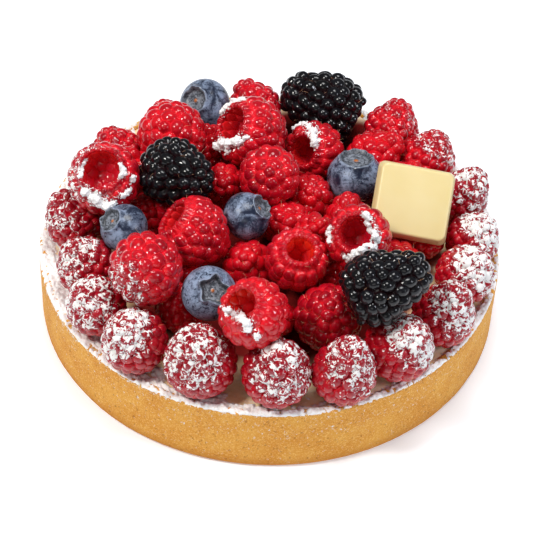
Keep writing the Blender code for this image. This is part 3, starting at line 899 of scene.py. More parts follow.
# %% Helper: patches round the middles
def share_out(middles, step):
    """Divide the ball between the middles. Returns the border points, and for each middle
    its own direction and the loop of border points round it."""
    bm = bmesh.new()
    for middle in middles:
        bm.verts.new(middle)
    bmesh.ops.convex_hull(bm, input=list(bm.verts))
    bm.normal_update()
    bm.faces.index_update()
    points = []
    for face in bm.faces:
        outward = face.normal if face.normal.dot(face.calc_center_median()) > 0 else -face.normal
        points.append(outward.copy())
    paths = {}
    for edge in bm.edges:
        a, b = (face.index for face in edge.link_faces)
        pieces = max(1, round(points[a].angle(points[b], 0.0) / step))
        path = [a]
        for k in range(1, pieces):
            points.append(points[a].lerp(points[b], k / pieces).normalized())
            path.append(len(points) - 1)
        path.append(b)
        paths[a, b] = path
        paths[b, a] = path[::-1]
    cells = []
    for vert in bm.verts:
        if not vert.link_faces:
            continue
        axis = vert.co.normalized()
        side = axis.orthogonal().normalized()
        other = axis.cross(side)
        around = {face.index: face.calc_center_median() for face in vert.link_faces}
        ring = sorted(
            around, key=lambda i: math.atan2(around[i].dot(other), around[i].dot(side))
        )
        border = []
        for a, b in zip(ring, ring[1:] + ring[:1]):
            border += paths[a, b][:-1]
        cells.append((axis.copy(), border))
    bm.free()
    return points, cells


# %% [markdown]
# Now the patches swell. A bead under pressure is an oval cap, steep at its crease and flat
# on top, so rings of points from the middle to the border follow a circle's curve.

# %% Helper: beads that swell from the creases
NARROW_DEPTH = 1.15       # mm; beads narrower than twice this still get creases as deep


def oval_distance(border):
    """How far out border points lie round a bead's middle, as shares of the oval that fits
    the bead, and the oval's half width in mm."""
    _, _, axes = np.linalg.svd(border - border.mean(axis=0), full_matrices=False)
    long, wide = border @ axes[0], border @ axes[1]
    long_radius = math.sqrt(2.0 * float((long ** 2).mean())) + 1e-6
    wide_radius = math.sqrt(2.0 * float((wide ** 2).mean())) + 1e-6
    return np.hypot(long / long_radius, wide / wide_radius), min(long_radius, wide_radius)


def cap_fall(away, cap):
    """How far a round cap has fallen at a share of the way out, for the share at which it
    would stand upright."""
    away = np.minimum(away, 0.97 * cap)
    return cap - np.sqrt(cap ** 2 - away ** 2)


def lay_rings(border_ball, cells, rings, rng):
    """Lay rings of points between each bead's middle and its border, and faces over them.
    Returns all points' directions; for each bead its first point, its top and its border;
    the faces; and a ripeness from 0 to 1 for each face."""
    ball = [np.array(border_ball)]
    patches, faces, tone = [], [], []
    index = len(border_ball)
    for axis, border in cells:
        edge = np.array([border_ball[i] for i in border])
        middle = np.array(axis)
        for t in rings:
            ring = middle * (1.0 - t) + edge * t
            ball.append(ring / np.linalg.norm(ring, axis=1)[:, None])
        ball.append(middle[None])
        count = len(border)
        loops = [list(range(index + k * count, index + (k + 1) * count))
                 for k in range(len(rings))]
        top = index + len(rings) * count
        loops.append(border)
        own_tone = rng.uniform()
        first_face = len(faces)
        for k in range(count):
            n = (k + 1) % count
            faces.append((top, loops[0][k], loops[0][n]))
            for low, high in zip(loops[:-1], loops[1:]):
                faces.append((low[k], high[k], high[n], low[n]))
        tone += [own_tone] * (len(faces) - first_face)
        patches.append((index, top, border))
        index = top + 1
    return np.concatenate(ball), patches, faces, tone


def bead_drops(points, patches, border_count, beads, rng):
    """How far each point drops below the berry's outline in mm, and how high it stands on
    its bead, from 0 in a crease to 1 on top."""
    # Each bead is an oval cap. A crease lies where two caps meet, at their mean depth.
    depth_sum, seen = np.zeros(border_count), np.zeros(border_count)
    out_share = []
    for _, top, border in patches:
        away, half_width = oval_distance(points[border] - points[top])
        out_share.append(away)
        depth = beads["depth"] * max(half_width, NARROW_DEPTH)
        np.add.at(depth_sum, border, depth * cap_fall(away, beads["cap"]))
        np.add.at(seen, border, 1.0)
    crease = depth_sum / np.maximum(seen, 1.0)
    drop, rise = np.zeros(len(points)), np.zeros(len(points))
    drop[:border_count] = crease
    for (first, top, border), away in zip(patches, out_share):
        lift = beads["bulge"] * rng.uniform(-1.0, 1.0)
        edge_fall = cap_fall(away, beads["cap"])
        for k, t in enumerate(beads["rings"]):
            at = slice(first + k * len(border), first + (k + 1) * len(border))
            part = cap_fall(t * away, beads["cap"]) / edge_fall
            drop[at] = crease[border] * part - lift * (1.0 - t * t)
            rise[at] = np.clip(1.0 - (t * away) ** 2, 0.0, 1.0)
        drop[top] = -lift
        rise[top] = 1.0
    return drop, rise


def bead_mesh(name, outline, beads, rng):
    """The mesh of a berry in its own frame in mm. For the material it keeps each face's
    'tone', and each point's 'rise' on its bead and depth in the 'hollow'."""
    middles = bead_middles(outline, beads["pitch"], beads["uneven"], rng)
    border_ball, cells = share_out(middles, beads["step"])
    ball, patches, faces, tone = lay_rings(border_ball, cells, beads["rings"], rng)
    points, normals, share = outline.place(ball)
    drop, rise = bead_drops(points, patches, len(border_ball), beads, rng)
    hollow = np.zeros(len(ball))
    if outline.lip:
        hollow = np.clip((share - outline.lip) / (1.0 - outline.lip), 0.0, 1.0)
    points = points - normals * drop[:, None]
    mesh = bpy.data.meshes.new(name)
    mesh.from_pydata(points.tolist(), [], faces)
    set_values(mesh, "rise", rise)
    set_values(mesh, "hollow", hollow)
    set_values(mesh, "tone", tone, "FACE")
    return mesh


# %% [markdown]
# ## Raspberry skin
# The skin is thin and the flesh under it is clear red juice, so light goes in, turns red and
# comes out again beside where it went in. That is subsurface scattering. The skin itself is
# smooth but carries a fine down, which softens the glints and pales each bead's edge. Each
# bead's edge is also painted a brighter red for light that shines through it, and a hollow's
# lip and inside are painted brighter as well. The front ring's berries are painted darker
# for shade and the low berries brighter for light. The beads differ a little in ripeness.


# %% Raspberry skin
SHADE_AND_SUGAR_RED = "82081c"     # painted shade on the berries of the front ring, and the darker red where sugar lies


def raspberry_material():
    """Thin glossy skin over clear red flesh, with down at the edges, painted light and shade, and
    sugar on top.
    """
    material, tree, shader = new_material("raspberry_skin")
    place = own_place(tree)
    tone, rise, hollow, glow, shade, amount = (
        add_node(tree, "Attribute", {"attribute_name": name}).outputs["Fac"]
        for name in ("tone", "rise", "hollow", "glow", "shade", "sugar")
    )
    blotch = add_node(tree, "TexNoise", None, {
        "Vector": place, "Scale": 1.0 / (5.0 * MM), "Detail": 2.0,
    }).outputs["Fac"]
    ripe = mix_colour(tree, tone, linear("960316"), linear("b8081e"))
    uneven = mix_colour(tree, ramp(tree, blotch, 0.42, 0.75), ripe, linear("cc0f1f"))
    # painted light: each bead's edge, low on its rise, is a brighter red for light that shines
    # through it
    painted_edge_glow = mix_colour(tree, ramp(tree, rise, 0.05, 0.56, 0.72, 0.0), uneven, linear("ec2030"))
    # painted glow: an orange at a hollow's lip, for light that comes through it
    painted_mouth_share = add_node(
        tree, "Math", {"operation": "MULTIPLY"}, {0: glow, 1: ramp(tree, hollow, 0.02, 0.22)}
    ).outputs[0]
    painted_mouth_glow = mix_colour(tree, painted_mouth_share, painted_edge_glow, linear("fa3a1c"))
    # a hollow's inside: its own lighter red, made brighter still as painted light shining through
    # its walls
    pit = mix_colour(tree, ramp(tree, hollow, 0.20, 0.70, 0.0, 0.65), painted_mouth_glow, linear("c41434"))
    # painted light and shade: the 'shade' values brighten the low berries and darken the front
    # ring
    bright = mix_colour(tree, ramp(tree, shade, 0.0, 0.5, 0.6, 0.0), pit, linear("d20c1c"))
    shaded = mix_colour(tree, ramp(tree, shade, 0.5, 1.0, 0.0, 0.6), bright, linear(SHADE_AND_SUGAR_RED))
    # darker red where sugar lies
    darker_under_sugar = mix_colour(tree, ramp(tree, amount, 0.10, 0.40, 0.0, 0.5), shaded, linear(SHADE_AND_SUGAR_RED))
    colour, sugar = sugar_layer(tree, place, darker_under_sugar)
    down = add_node(tree, "TexNoise", None, {
        "Vector": place, "Scale": 1.0 / (0.5 * MM), "Detail": 3.0,
    }).outputs["Fac"]
    height = add_node(
        tree, "Math", {"operation": "MULTIPLY_ADD"}, {0: sugar, 1: 1.5, 2: down}
    ).outputs[0]
    bump = add_node(tree, "Bump", None, {
        "Strength": ramp(tree, sugar, 0.0, 1.0, 0.03, 0.5),
        "Distance": 0.15 * MM, "Height": height,
    })
    set_shader(tree, shader, {
        "Base Color": colour, "IOR": 1.42,
        "Roughness": ramp(tree, sugar, 0.0, 1.0, 0.22, 0.95), "Specular IOR Level": 0.35,
        "Normal": bump.outputs["Normal"],
        "Subsurface Weight": ramp(tree, sugar, 0.0, 1.0, 0.5, 0.0),
        "Subsurface Radius": (1.0, 0.10, 0.09), "Subsurface Scale": 1.2 * MM,
        "Coat Weight": ramp(tree, sugar, 0.0, 1.0, 0.45, 0.0), "Coat Roughness": 0.03,
        "Sheen Weight": 0.04, "Sheen Roughness": 0.30, "Sheen Tint": linear("ffc4ca"),
    })
    return material


raspberry_skin = raspberry_material()
print(f"{raspberry_skin.name}: {len(raspberry_skin.node_tree.nodes)} nodes")

# %% [markdown]
# ## Sugar on the berries
# The tart was dusted round its edge. Sugar that falls on a berry stays where the skin faces
# up and out, so each point's amount comes from the way it faces, from large patches, and
# from how much sugar that berry got.

# %% Raspberries
RASPBERRY_TIP = 0.62
BEADS_OVER = 1.04         # the creases pull the outline in, so the beads' tops stand a bit out
# mm between beads; depth of a bead as a share of its half width; the share of the way out
# where its cap would stand upright; radians between border points; mm that a bead stands
# out more or less; uneven spacing
BEADS_SUGARED = {"pitch": 4.4, "depth": 0.85, "cap": 1.14, "step": 0.070, "bulge": 0.12,
                 "uneven": 0.13, "rings": (0.36, 0.65, 0.87)}
BEADS_BARE = {**BEADS_SUGARED, "pitch": 5.4, "depth": 0.78}
RING_BERRIES = 18
BEADS_HIDDEN = {**BEADS_SUGARED, "step": 0.11, "rings": (0.45, 0.82)}
HIDDEN_BERRIES = {16, 18, 27, 28, 29, 31, 33, 34, 35, 36}
# share of white where the skin faces the falling sugar, and the way it came from: a turn in
# degrees, and for some a height in degrees and how far that way the sugar starts
SUGAR_ON = {
    1: (0.40, 190), 2: (0.42, 190), 3: (0.48, 220), 4: (0.53, 200), 5: (0.46, 230),
    6: (0.44, 300), 7: (0.42, 320), 8: (0.50, 350), 9: (0.47, 330), 10: (0.58, 350),
    11: (0.58, 10), 12: (0.45, 350), 13: (0.32, 30), 14: (0.20, 20), 17: (0.14, 130),
    39: (0.36, 226, 0, 0.16), 40: (0.34, 190, 30, 0.0),
}
# how much light comes through the lip of a hollow, for some berries and for the rest
MOUTH_GLOW, MOUTH_USUAL = {40: 0.25, 44: 0.75, 45: 0.85}, 0.15
SHADE_RING, SHADE_LOW, SHADE_TOP = 0.80, 0.15, 0.50   # how dark the skin is painted, from 0 to 1: shade above 0.5, light below
# the ring up to this number gets painted shade; the low berries on the cream, below the top
# ones, get painted light
DARK_BERRIES, LOW_BERRIES = 12, range(RING_BERRIES + 1, 37)
# one berry is darker than the rest of its group, and three are brighter
OWN_SHADES = {21: 0.70, 37: 0.30, 44: 0.35, 45: 0.20}
SUGAR_THICKNESS = 0.15    # mm in the middle of a patch
BEAD_CREASE_ANGLE = 38.0  # degrees between faces above which a crease looks sharp
rng = np.random.default_rng(7)


def point_normals(mesh):
    """Each vertex's own normal as an array."""
    out = np.zeros(len(mesh.vertices) * 3)
    mesh.vertices.foreach_get("co", out)
    points = out.reshape(-1, 3).copy()
    mesh.vertex_normals.foreach_get("vector", out)
    return points, out.reshape(-1, 3)


def sugar_on_berry(points, normals, centre, amount, turn, level=53, start=-0.25):
    """Sugar values for the points of a berry, which are in mm, in clumps: most on the side
    that faces a turn and a height in degrees, none where it faces away by the start."""
    fall = np.array(tip_direction(turn, level))
    away = points - np.array(centre)
    away /= np.linalg.norm(away, axis=1)[:, None] + 1e-9
    facing = 0.10 * (normals @ fall) + 0.90 * (away @ fall)
    share = np.clip((facing - start) / 0.75, 0.0, 1.0)
    wanted = amount * share * share * (3.0 - 2.0 * share)
    return np.array([
        sugar_value(w, clumps(Vector(p), 4.6)) for w, p in zip(wanted, points)
    ])


def place_mesh(mesh, axes, centre):
    """Move a mesh from a berry's own frame in mm to its place in metres."""
    mesh.transform(Matrix.Translation(centre * MM) @ axes.to_4x4() @ Matrix.Scale(MM, 4))


def make_raspberry(number, row):
    """One raspberry in the place of its solid."""
    width, length, turn, rise, hole = row
    node = f"raspberry_{number:02d}"
    axes, centre = own_frame(node, turn, rise)
    outline = Outline(width * BEADS_OVER, length, RASPBERRY_TIP, hole)
    beads = BEADS_BARE
    if number <= RING_BERRIES:
        beads = BEADS_SUGARED
    if number in HIDDEN_BERRIES:
        beads = BEADS_HIDDEN
    mesh = bead_mesh(f"red_{node}", outline, beads, rng)
    place_mesh(mesh, axes, centre)
    points, normals = point_normals(mesh)
    sugar = np.zeros(len(points))
    if number in SUGAR_ON:
        sugar = sugar_on_berry(points / MM, normals, centre, *SUGAR_ON[number])
        sugar[[item.value > 0.02 for item in mesh.attributes["hollow"].data]] = 0.0
        thick = np.array([sugar_thickness(value, SUGAR_THICKNESS) for value in sugar])
        points += normals * thick[:, None] * MM
        mesh.vertices.foreach_set("co", points.ravel())
        mesh.update()
    set_values(mesh, "sugar", sugar)
    set_values(mesh, "glow", [MOUTH_GLOW.get(number, MOUTH_USUAL)] * len(points))
    # painted shade for the front ring, painted light for the low berries
    shade = SHADE_RING if number <= DARK_BERRIES else SHADE_TOP
    if number in LOW_BERRIES:
        shade = SHADE_LOW
    set_values(mesh, "shade", [OWN_SHADES.get(number, shade)] * len(points))
    return add_piece(f"red_{node}", mesh, raspberry_skin, [node],
                     BEAD_CREASE_ANGLE)


red_faces = 0
for number, row in enumerate(RASPBERRIES, 1):
    red_faces += len(make_raspberry(number, row).data.polygons)
print(f"{len(RASPBERRIES)} raspberries, {red_faces} faces")

# %% [markdown]
# ## Ridges of sugar
# On the berries that lie hollow up, the sugar was caught along the lip and stands there in
# lumpy ridges. Where a ridge runs is easiest to say as the camera sees it, so each row gives
# a thickness and a few places in the picture, in pixels. A ray from the camera through each
# place finds the berry's skin. Balls are laid along the line, joined into one skin by the
# Remesh modifier, and crumbled with noise.

# %% Ridges of sugar
RIDGES = {
    40: [(1.9, [(85, 191), (91, 195), (97, 199), (103, 204), (109, 205), (113, 201)]),
         (1.1, [(121, 165), (123, 172), (122, 178)]), (0.9, [(84, 160), (81, 168), (80, 177)]),
         (1.1, [(122, 196), (127, 193), (131, 188)]), (0.8, [(132, 176), (133, 183)])],
    41: [(1.7, [(212, 146), (219, 145), (227, 143), (235, 141), (243, 139)]),
         (0.9, [(245, 138), (249, 137)]), (1.0, [(227, 150), (229, 153)]),
         (1.0, [(222, 113), (226, 106), (232, 101), (239, 98), (245, 98)])],
    42: [(0.8, [(291, 129), (295, 124), (302, 123), (308, 126)]),
         (1.6, [(311, 129), (314, 135), (316, 141), (315, 147)])],
    45: [(1.2, [(226, 309), (230, 312), (234, 316)]),
         (1.4, [(239, 316), (244, 322), (250, 328)]), (0.8, [(257, 336), (259, 339)])],
    46: [(1.5, [(363, 214), (367, 220), (371, 227), (374, 235), (378, 241)]),
         (1.4, [(374, 246), (366, 248), (358, 252), (350, 256), (345, 257)]),
         (0.9, [(330, 229), (329, 236), (329, 243)])],
}
LUMP_STEP = 0.5           # distance between balls as a share of their radius
CRUMBS = 3                # small crumbs on the skin beside each ball
DUST_REACH = 2.6          # dust lies round a ball out to this many times its radius
DUST_SHARE = 0.66         # share of white in the dust close to a ball
RIDGE_VOXEL, RIDGE_CRUMBLE = 0.22, 0.18   # mm: size of the joined skin's faces, its noise


def picture_ray(x, y):
    """Start and direction of the camera's ray through a place in the picture."""
    half = IMAGE_SIDE / 2.0
    along = Vector((x - half, half - y, -FOCAL_PIXELS)).normalized()
    return camera.matrix_world.translation, camera.matrix_world.to_3x3() @ along


def skin_point(skin, middle, x, y):
    """The place on a skin that shows at a place in the picture, or the nearest to it."""
    start, along = picture_ray(x, y)
    place, normal, _, _ = skin.ray_cast(start, along)
    if place is None:
        place, normal, _, _ = skin.find_nearest(start + along * (middle - start).length)
    return place, normal


def joined_balls(name, balls, voxel):
    """One closed skin round balls, each with a place in metres and a radius in mm."""
    bm = bmesh.new()
    for place, radius in balls:
        at = Matrix.Translation(place)
        bmesh.ops.create_icosphere(
            bm, subdivisions=2 if radius > 0.5 else 1, radius=radius * MM, matrix=at
        )
    mesh = bpy.data.meshes.new(name)
    bm.to_mesh(mesh)
    bm.free()
    helper = bpy.data.objects.new(name + "_balls", mesh)
    bpy.context.scene.collection.objects.link(helper)
    remesh = helper.modifiers.new("join", "REMESH")
    remesh.mode = "VOXEL"
    remesh.voxel_size = voxel * MM
    whole = helper.evaluated_get(bpy.context.evaluated_depsgraph_get())
    joined = bpy.data.meshes.new_from_object(whole)
    bpy.data.objects.remove(helper)
    return joined


def crumble(mesh, most):
    """Push a mesh's points in and out with fine and coarse noise, up to about this in mm."""
    points, normals = point_normals(mesh)
    push = np.array([clumps(Vector(p) / MM, 0.9) for p in points])
    points += normals * push[:, None] * most * MM
    mesh.vertices.foreach_set("co", points.ravel())
    mesh.update()


def dust_round(berry, balls):
    """Raise a berry's sugar values round the balls of a ridge."""
    points, _ = point_normals(berry)
    sugar = np.zeros(len(points))
    berry.attributes["sugar"].data.foreach_get("value", sugar)
    for place, radius in balls:
        away = np.linalg.norm(points - np.array(place), axis=1) / MM
        near = DUST_SHARE * (1.15 - away / (DUST_REACH * radius))
        sugar = np.maximum(sugar, np.minimum(near, DUST_SHARE))
    berry.attributes["sugar"].data.foreach_set("value", sugar.astype(np.float32))


def sugar_ridge(number, rows):
    """The ridges of one berry as one piece, with crumbs and dust beside them."""
    berry = bpy.data.objects[f"red_raspberry_{number:02d}"].data
    skin = BVHTree.FromPolygons(
        [v.co for v in berry.vertices], [p.vertices for p in berry.polygons]
    )
    middle = sum((v.co for v in berry.vertices), Vector()) / len(berry.vertices)
    balls, crumbs = [], []
    for thick, places in rows:
        line_points = [skin_point(skin, middle, x, y) for x, y in places]
        for (a, up_a), (b, up_b) in zip(line_points[:-1], line_points[1:]):
            count = max(1, round((b - a).length / (thick * LUMP_STEP * MM)))
            for k in range(count):
                share = k / count
                radius = thick * rng.uniform(0.50, 0.95)
                aside = Vector(rng.uniform(-0.45, 0.45, 3)) * thick
                up = up_a.lerp(up_b, share) * 0.10 * thick
                balls.append((a.lerp(b, share) + (aside + up) * MM, radius))
                for scatter in rng.normal(0.0, 0.75, (CRUMBS, 3)):
                    place, _, _, _ = skin.find_nearest(balls[-1][0] + Vector(scatter) * thick * MM)
                    crumbs.append((place, rng.uniform(0.22, 0.50)))
    dust_round(berry, balls)
    name = f"sugar_ridge_{number}"
    mesh = joined_balls(name, balls + crumbs, RIDGE_VOXEL)
    crumble(mesh, RIDGE_CRUMBLE)
    return add_piece(name, mesh, loose_sugar)


for number, rows in RIDGES.items():
    ridge = sugar_ridge(number, rows)
    print(f"{ridge.name}: {len(ridge.data.polygons)} faces")

# %% [markdown]
# ## Dried styles
# Each bead began as one part of the flower and kept its style, a fine golden hair of 1 to 2
# mm that grows out of the creases. They are modelled as thin curved cones. They are drawn
# 0.1 mm thick, about twice the real thickness, so that they survive in the picture.

# %% Dried styles
STYLE_COUNT = {21: 44, 22: 22, 44: 8, 45: 16, 20: 14, 23: 12, 24: 14, 26: 14, 33: 12}
STYLE_USUAL = 9
STYLE_BRAMBLE = 26
STYLE_STEPS, STYLE_SIDES = 4, 3
STYLE_RADIUS = 0.055      # mm at the root


def add_style(points, faces, place, normal, length):
    """Add one curved hair: rings of three points that shrink towards its end."""
    side = normal.orthogonal().normalized()
    side.rotate(Matrix.Rotation(rng.uniform(0.0, 2.0 * math.pi), 3, normal))
    other = normal.cross(side)
    lean, bend = rng.uniform(0.2, 0.9), rng.uniform(-0.8, 0.8)
    first = len(points)
    for k in range(STYLE_STEPS):
        t = k / STYLE_STEPS
        middle = place + (normal * t + side * lean * t * t + other * bend * t * t) * length
        radius = STYLE_RADIUS * MM * (1.0 - 0.5 * t)
        for j in range(STYLE_SIDES):
            a = 2.0 * math.pi * j / STYLE_SIDES
            points.append(middle + (side * math.cos(a) + other * math.sin(a)) * radius)
    points.append(place + (normal + side * lean + other * bend) * length)
    for k in range(STYLE_STEPS - 1):
        for j in range(STYLE_SIDES):
            a, b = first + k * STYLE_SIDES + j, first + k * STYLE_SIDES + (j + 1) % STYLE_SIDES
            faces.append((a, b, b + STYLE_SIDES, a + STYLE_SIDES))
    last = first + (STYLE_STEPS - 1) * STYLE_SIDES
    for j in range(STYLE_SIDES):
        faces.append((last + j, last + (j + 1) % STYLE_SIDES, len(points) - 1))
    faces.append(tuple(range(first, first + STYLE_SIDES))[::-1])


def style_material():
    """Dry plant fibre: straw to amber, slightly glossy."""
    material, tree, shader = new_material("dried_styles")
    patch = add_node(tree, "TexNoise", None, {
        "Vector": own_place(tree), "Scale": 1.0 / (2.0 * MM), "Detail": 1.0,
    }).outputs["Fac"]
    set_shader(tree, shader, {
        "Base Color": mix_colour(tree, patch, linear("c07848"), linear("f3c9a6")),
        "Roughness": 0.4,
    })
    return material


def grow_styles(mesh, count, points, faces):
    """Add hairs that grow out of the creases of a berry, where its skin faces up or out."""
    places, normals = point_normals(mesh)
    depth = np.array([item.value for item in mesh.attributes["rise"].data])
    inside = np.array([item.value for item in mesh.attributes["hollow"].data])
    roots = np.flatnonzero((depth < 0.35) & (inside < 0.01) & (normals[:, 2] > -0.2))
    for i in rng.choice(roots, count, replace=False):
        length = rng.uniform(1.2, 2.3) * MM
        add_style(points, faces, Vector(places[i]), Vector(normals[i]), length)


def styles_piece(name, points, faces):
    """Put the hairs of some berries on the tart as one piece."""
    mesh = bpy.data.meshes.new(name)
    mesh.from_pydata(points, [], faces)
    facing_out(mesh)
    print(f"{name}: {len(mesh.polygons)} faces")
    return add_piece(name, mesh, dry_styles)


dry_styles = style_material()
hair_points, hair_faces = [], []
for number in range(1, len(RASPBERRIES) + 1):
    if number not in HIDDEN_BERRIES:
        skin = bpy.data.objects[f"red_raspberry_{number:02d}"].data
        grow_styles(skin, STYLE_COUNT.get(number, STYLE_USUAL), hair_points, hair_faces)
styles_piece("berry_styles", hair_points, hair_faces)

# %% [markdown]
# ## Brambles
# Bramble berries keep their core, so they are full, and their beads are larger, rounder and
# tighter skinned. The skin is smooth and holds so much dark juice that it looks black. What
# the eye sees is mostly the reflected lamps, so a coat with low roughness lies over the skin.

# %% Brambles
BRAMBLE_TIP = 0.70
BRAMBLE_OVER = 1.03
BRAMBLE_PITCHES = [5.3, 5.3, 4.9]
BEADS_BRAMBLE = {"depth": 1.00, "cap": 1.11, "step": 0.060, "bulge": 0.38,
                 "uneven": 0.19, "rings": (0.28, 0.52, 0.73, 0.89)}


def bramble_material():
    """Tight glossy skin over juice so dark that it looks black, red at the thin edges."""
    material, tree, shader = new_material("bramble_skin")
    tone, rise = (
        add_node(tree, "Attribute", {"attribute_name": name}).outputs["Fac"]
        for name in ("tone", "rise")
    )
    dark = mix_colour(tree, tone, linear("060609"), linear("0d0d13"))
    colour = mix_colour(tree, ramp(tree, rise, 0.0, 0.35, 0.5, 0.0), dark, linear("240609"))
    set_shader(tree, shader, {
        "Base Color": colour, "IOR": 1.45, "Roughness": 0.35, "Specular IOR Level": 0.1,
        "Coat Weight": 0.65, "Coat Roughness": 0.05,
    })
    return material


bramble_skin = bramble_material()
for number, row in enumerate(BRAMBLES, 1):
    width, length, turn, rise, hole = row
    node = f"bramble_{number}"
    axes, centre = own_frame(node, turn, rise)
    outline = Outline(width * BRAMBLE_OVER, length, BRAMBLE_TIP, hole)
    beads = {**BEADS_BRAMBLE, "pitch": BRAMBLE_PITCHES[number - 1]}
    mesh = bead_mesh(f"black_{node}", outline, beads, rng)
    place_mesh(mesh, axes, centre)
    piece = add_piece(
        f"black_{node}", mesh, bramble_skin, [node], BEAD_CREASE_ANGLE
    )
    print(f"{piece.name}: {len(mesh.polygons)} faces")

hair_points, hair_faces = [], []
for number in range(1, len(BRAMBLES) + 1):
    skin = bpy.data.objects[f"black_bramble_{number}"].data
    grow_styles(skin, STYLE_BRAMBLE, hair_points, hair_faces)
styles_piece("bramble_styles", hair_points, hair_faces)

# %% [markdown]
# ## Blueberries
# A blueberry is a squat ball with a dark blue skin under a bloom of pale wax. Fingers and
# other berries rub the bloom off in blotches and scratches. At the top is the rest of the
# flower: five short ragged lobes round a shallow cup. The ball and the cup are one surface,
# with a height that follows the distance from the axis and the angle round it.

# %% Blueberries
BLUEBERRY_SQUAT = 0.90
CROWN_LOBES = 5
BERRY_TURNS = 96
# where the crown's rows of points lie, as shares of the angle from the axis to its edge
CROWN_STEPS = [0.0, 0.08, 0.14, 0.20, 0.40, 0.60, 0.72, 0.78, 0.82, 0.86, 0.90, 0.94, 0.98,
               1.02, 1.06, 1.10, 1.16, 1.24, 1.34, 1.46]
CUP_WALL = (0.80, 0.94)              # where the cup's wall stands, in the same shares
SCAR_EDGE = (0.08, 0.20)             # where the stub in the middle of the cup ends
CUP_DEPTH = 0.085                    # as a share of half the height: cup below its edge
SCAR_RISE, CUP_RINGS = 0.030, 0.010  # shares of the radius: the stub, faint rings by it


def smooth_step(value, low, high):
    """0 below the range, 1 above it, and a smooth rise between."""
    share = min(1.0, max(0.0, (value - low) / (high - low)))
    return share * share * (3.0 - 2.0 * share)


def crown_lobe(turn, seed, star, tall):
    """Height of the crown's edge as a share of the radius: five lobes, torn and uneven."""
    ragged = noise.noise(Vector((math.cos(turn) * 2.5, math.sin(turn) * 2.5, seed)))
    lobe = 0.5 + 0.5 * math.cos(CROWN_LOBES * turn + seed)
    fluted = 0.5 + 0.5 * math.cos(2.0 * CROWN_LOBES * turn + seed)
    petal = 0.050 * lobe ** 0.7 * (1.0 + star)
    return tall * (0.045 + petal + 0.025 * fluted + 0.045 * ragged)


def blueberry_point(share, polar, turn, radius, seed, looks):
    """A point of a blueberry in mm: ball, lobes of the crown, and the cup within them."""
    star, _, crown_angle, tall = looks
    ball = radius * BLUEBERRY_SQUAT * math.cos(polar)
    out, up = radius * math.sin(polar), ball
    if share < CROWN_STEPS[-1]:
        lobe = crown_lobe(turn, seed, star, tall)
        wall = smooth_step(share, *CUP_WALL)
        outer = 1.0 - smooth_step(share, 1.0, 1.40)
        floor = radius * BLUEBERRY_SQUAT * (math.cos(math.radians(crown_angle)) - CUP_DEPTH)
        floor += radius * SCAR_RISE * (1.0 - smooth_step(share, *SCAR_EDGE))
        floor += radius * CUP_RINGS * math.cos(share * 24.0)
        up = floor * (1.0 - wall) + (ball + radius * lobe * outer) * wall
        five = math.cos(CROWN_LOBES * turn + seed)
        flute = 0.03 * math.cos(2.0 * CROWN_LOBES * turn + seed)
        out *= 1.0 + (star * 0.22 * five + flute) * smooth_step(share, 0.6, 0.9) * outer
        out += radius * 0.05 * wall * outer
    return out * math.cos(turn), out * math.sin(turn), up


def blueberry_mesh(name, radius, seed, looks):
    """Rows of points from the middle of the cup to the bottom of the ball, with 'cup', 'edge',
    'wall' and 'scar' values for the material: 'wall' places painted shade on the cup's wall,
    and 'edge' a paler crown edge that is partly painted highlight."""
    crown_angle = math.radians(looks[2])
    start = CROWN_STEPS[-1] * crown_angle
    rows = [(share, share * crown_angle) for share in CROWN_STEPS[1:]]
    rows += [(9.0, polar) for polar in np.linspace(start, math.pi, 26)[1:-1]]
    turns = np.linspace(0.0, 2.0 * math.pi, BERRY_TURNS, endpoint=False)
    rows = [(0.0, 0.0)] + rows + [(9.0, math.pi)]
    points, shares, faces = [], [], []
    for share, polar in rows[1:-1]:
        points += [blueberry_point(share, polar, t, radius, seed, looks) for t in turns]
        shares += [share] * BERRY_TURNS
    for share, polar in (rows[0], rows[-1]):
        points.append(blueberry_point(share, polar, 0.0, radius, seed, looks))
        shares.append(share)
    top, bottom = len(points) - 2, len(points) - 1
    last = (len(rows) - 3) * BERRY_TURNS
    for k in range(BERRY_TURNS):
        n = (k + 1) % BERRY_TURNS
        faces.append((top, k, n))
        faces.append((bottom, last + n, last + k))
        for a in range(0, last, BERRY_TURNS):
            faces.append((a + k, a + BERRY_TURNS + k, a + BERRY_TURNS + n, a + n))
    mesh = bpy.data.meshes.new(name)
    mesh.from_pydata(points, [], faces)
    set_values(mesh, "cup", [1.0 - smooth_step(share, 0.90, 0.99) for share in shares])
    # a paler crown edge: partly the lobes' own bloom, partly a painted highlight
    set_values(mesh, "edge", [max(0.0, 1.0 - abs(share - 1.02) / 0.08) for share in shares])
    # painted shade on the cup's wall
    set_values(mesh, "wall", [max(0.0, 1.0 - abs(share - 0.82) / 0.13) for share in shares])
    set_values(mesh, "scar", [1.0 - smooth_step(share, 0.08, 0.18) for share in shares])
    return mesh


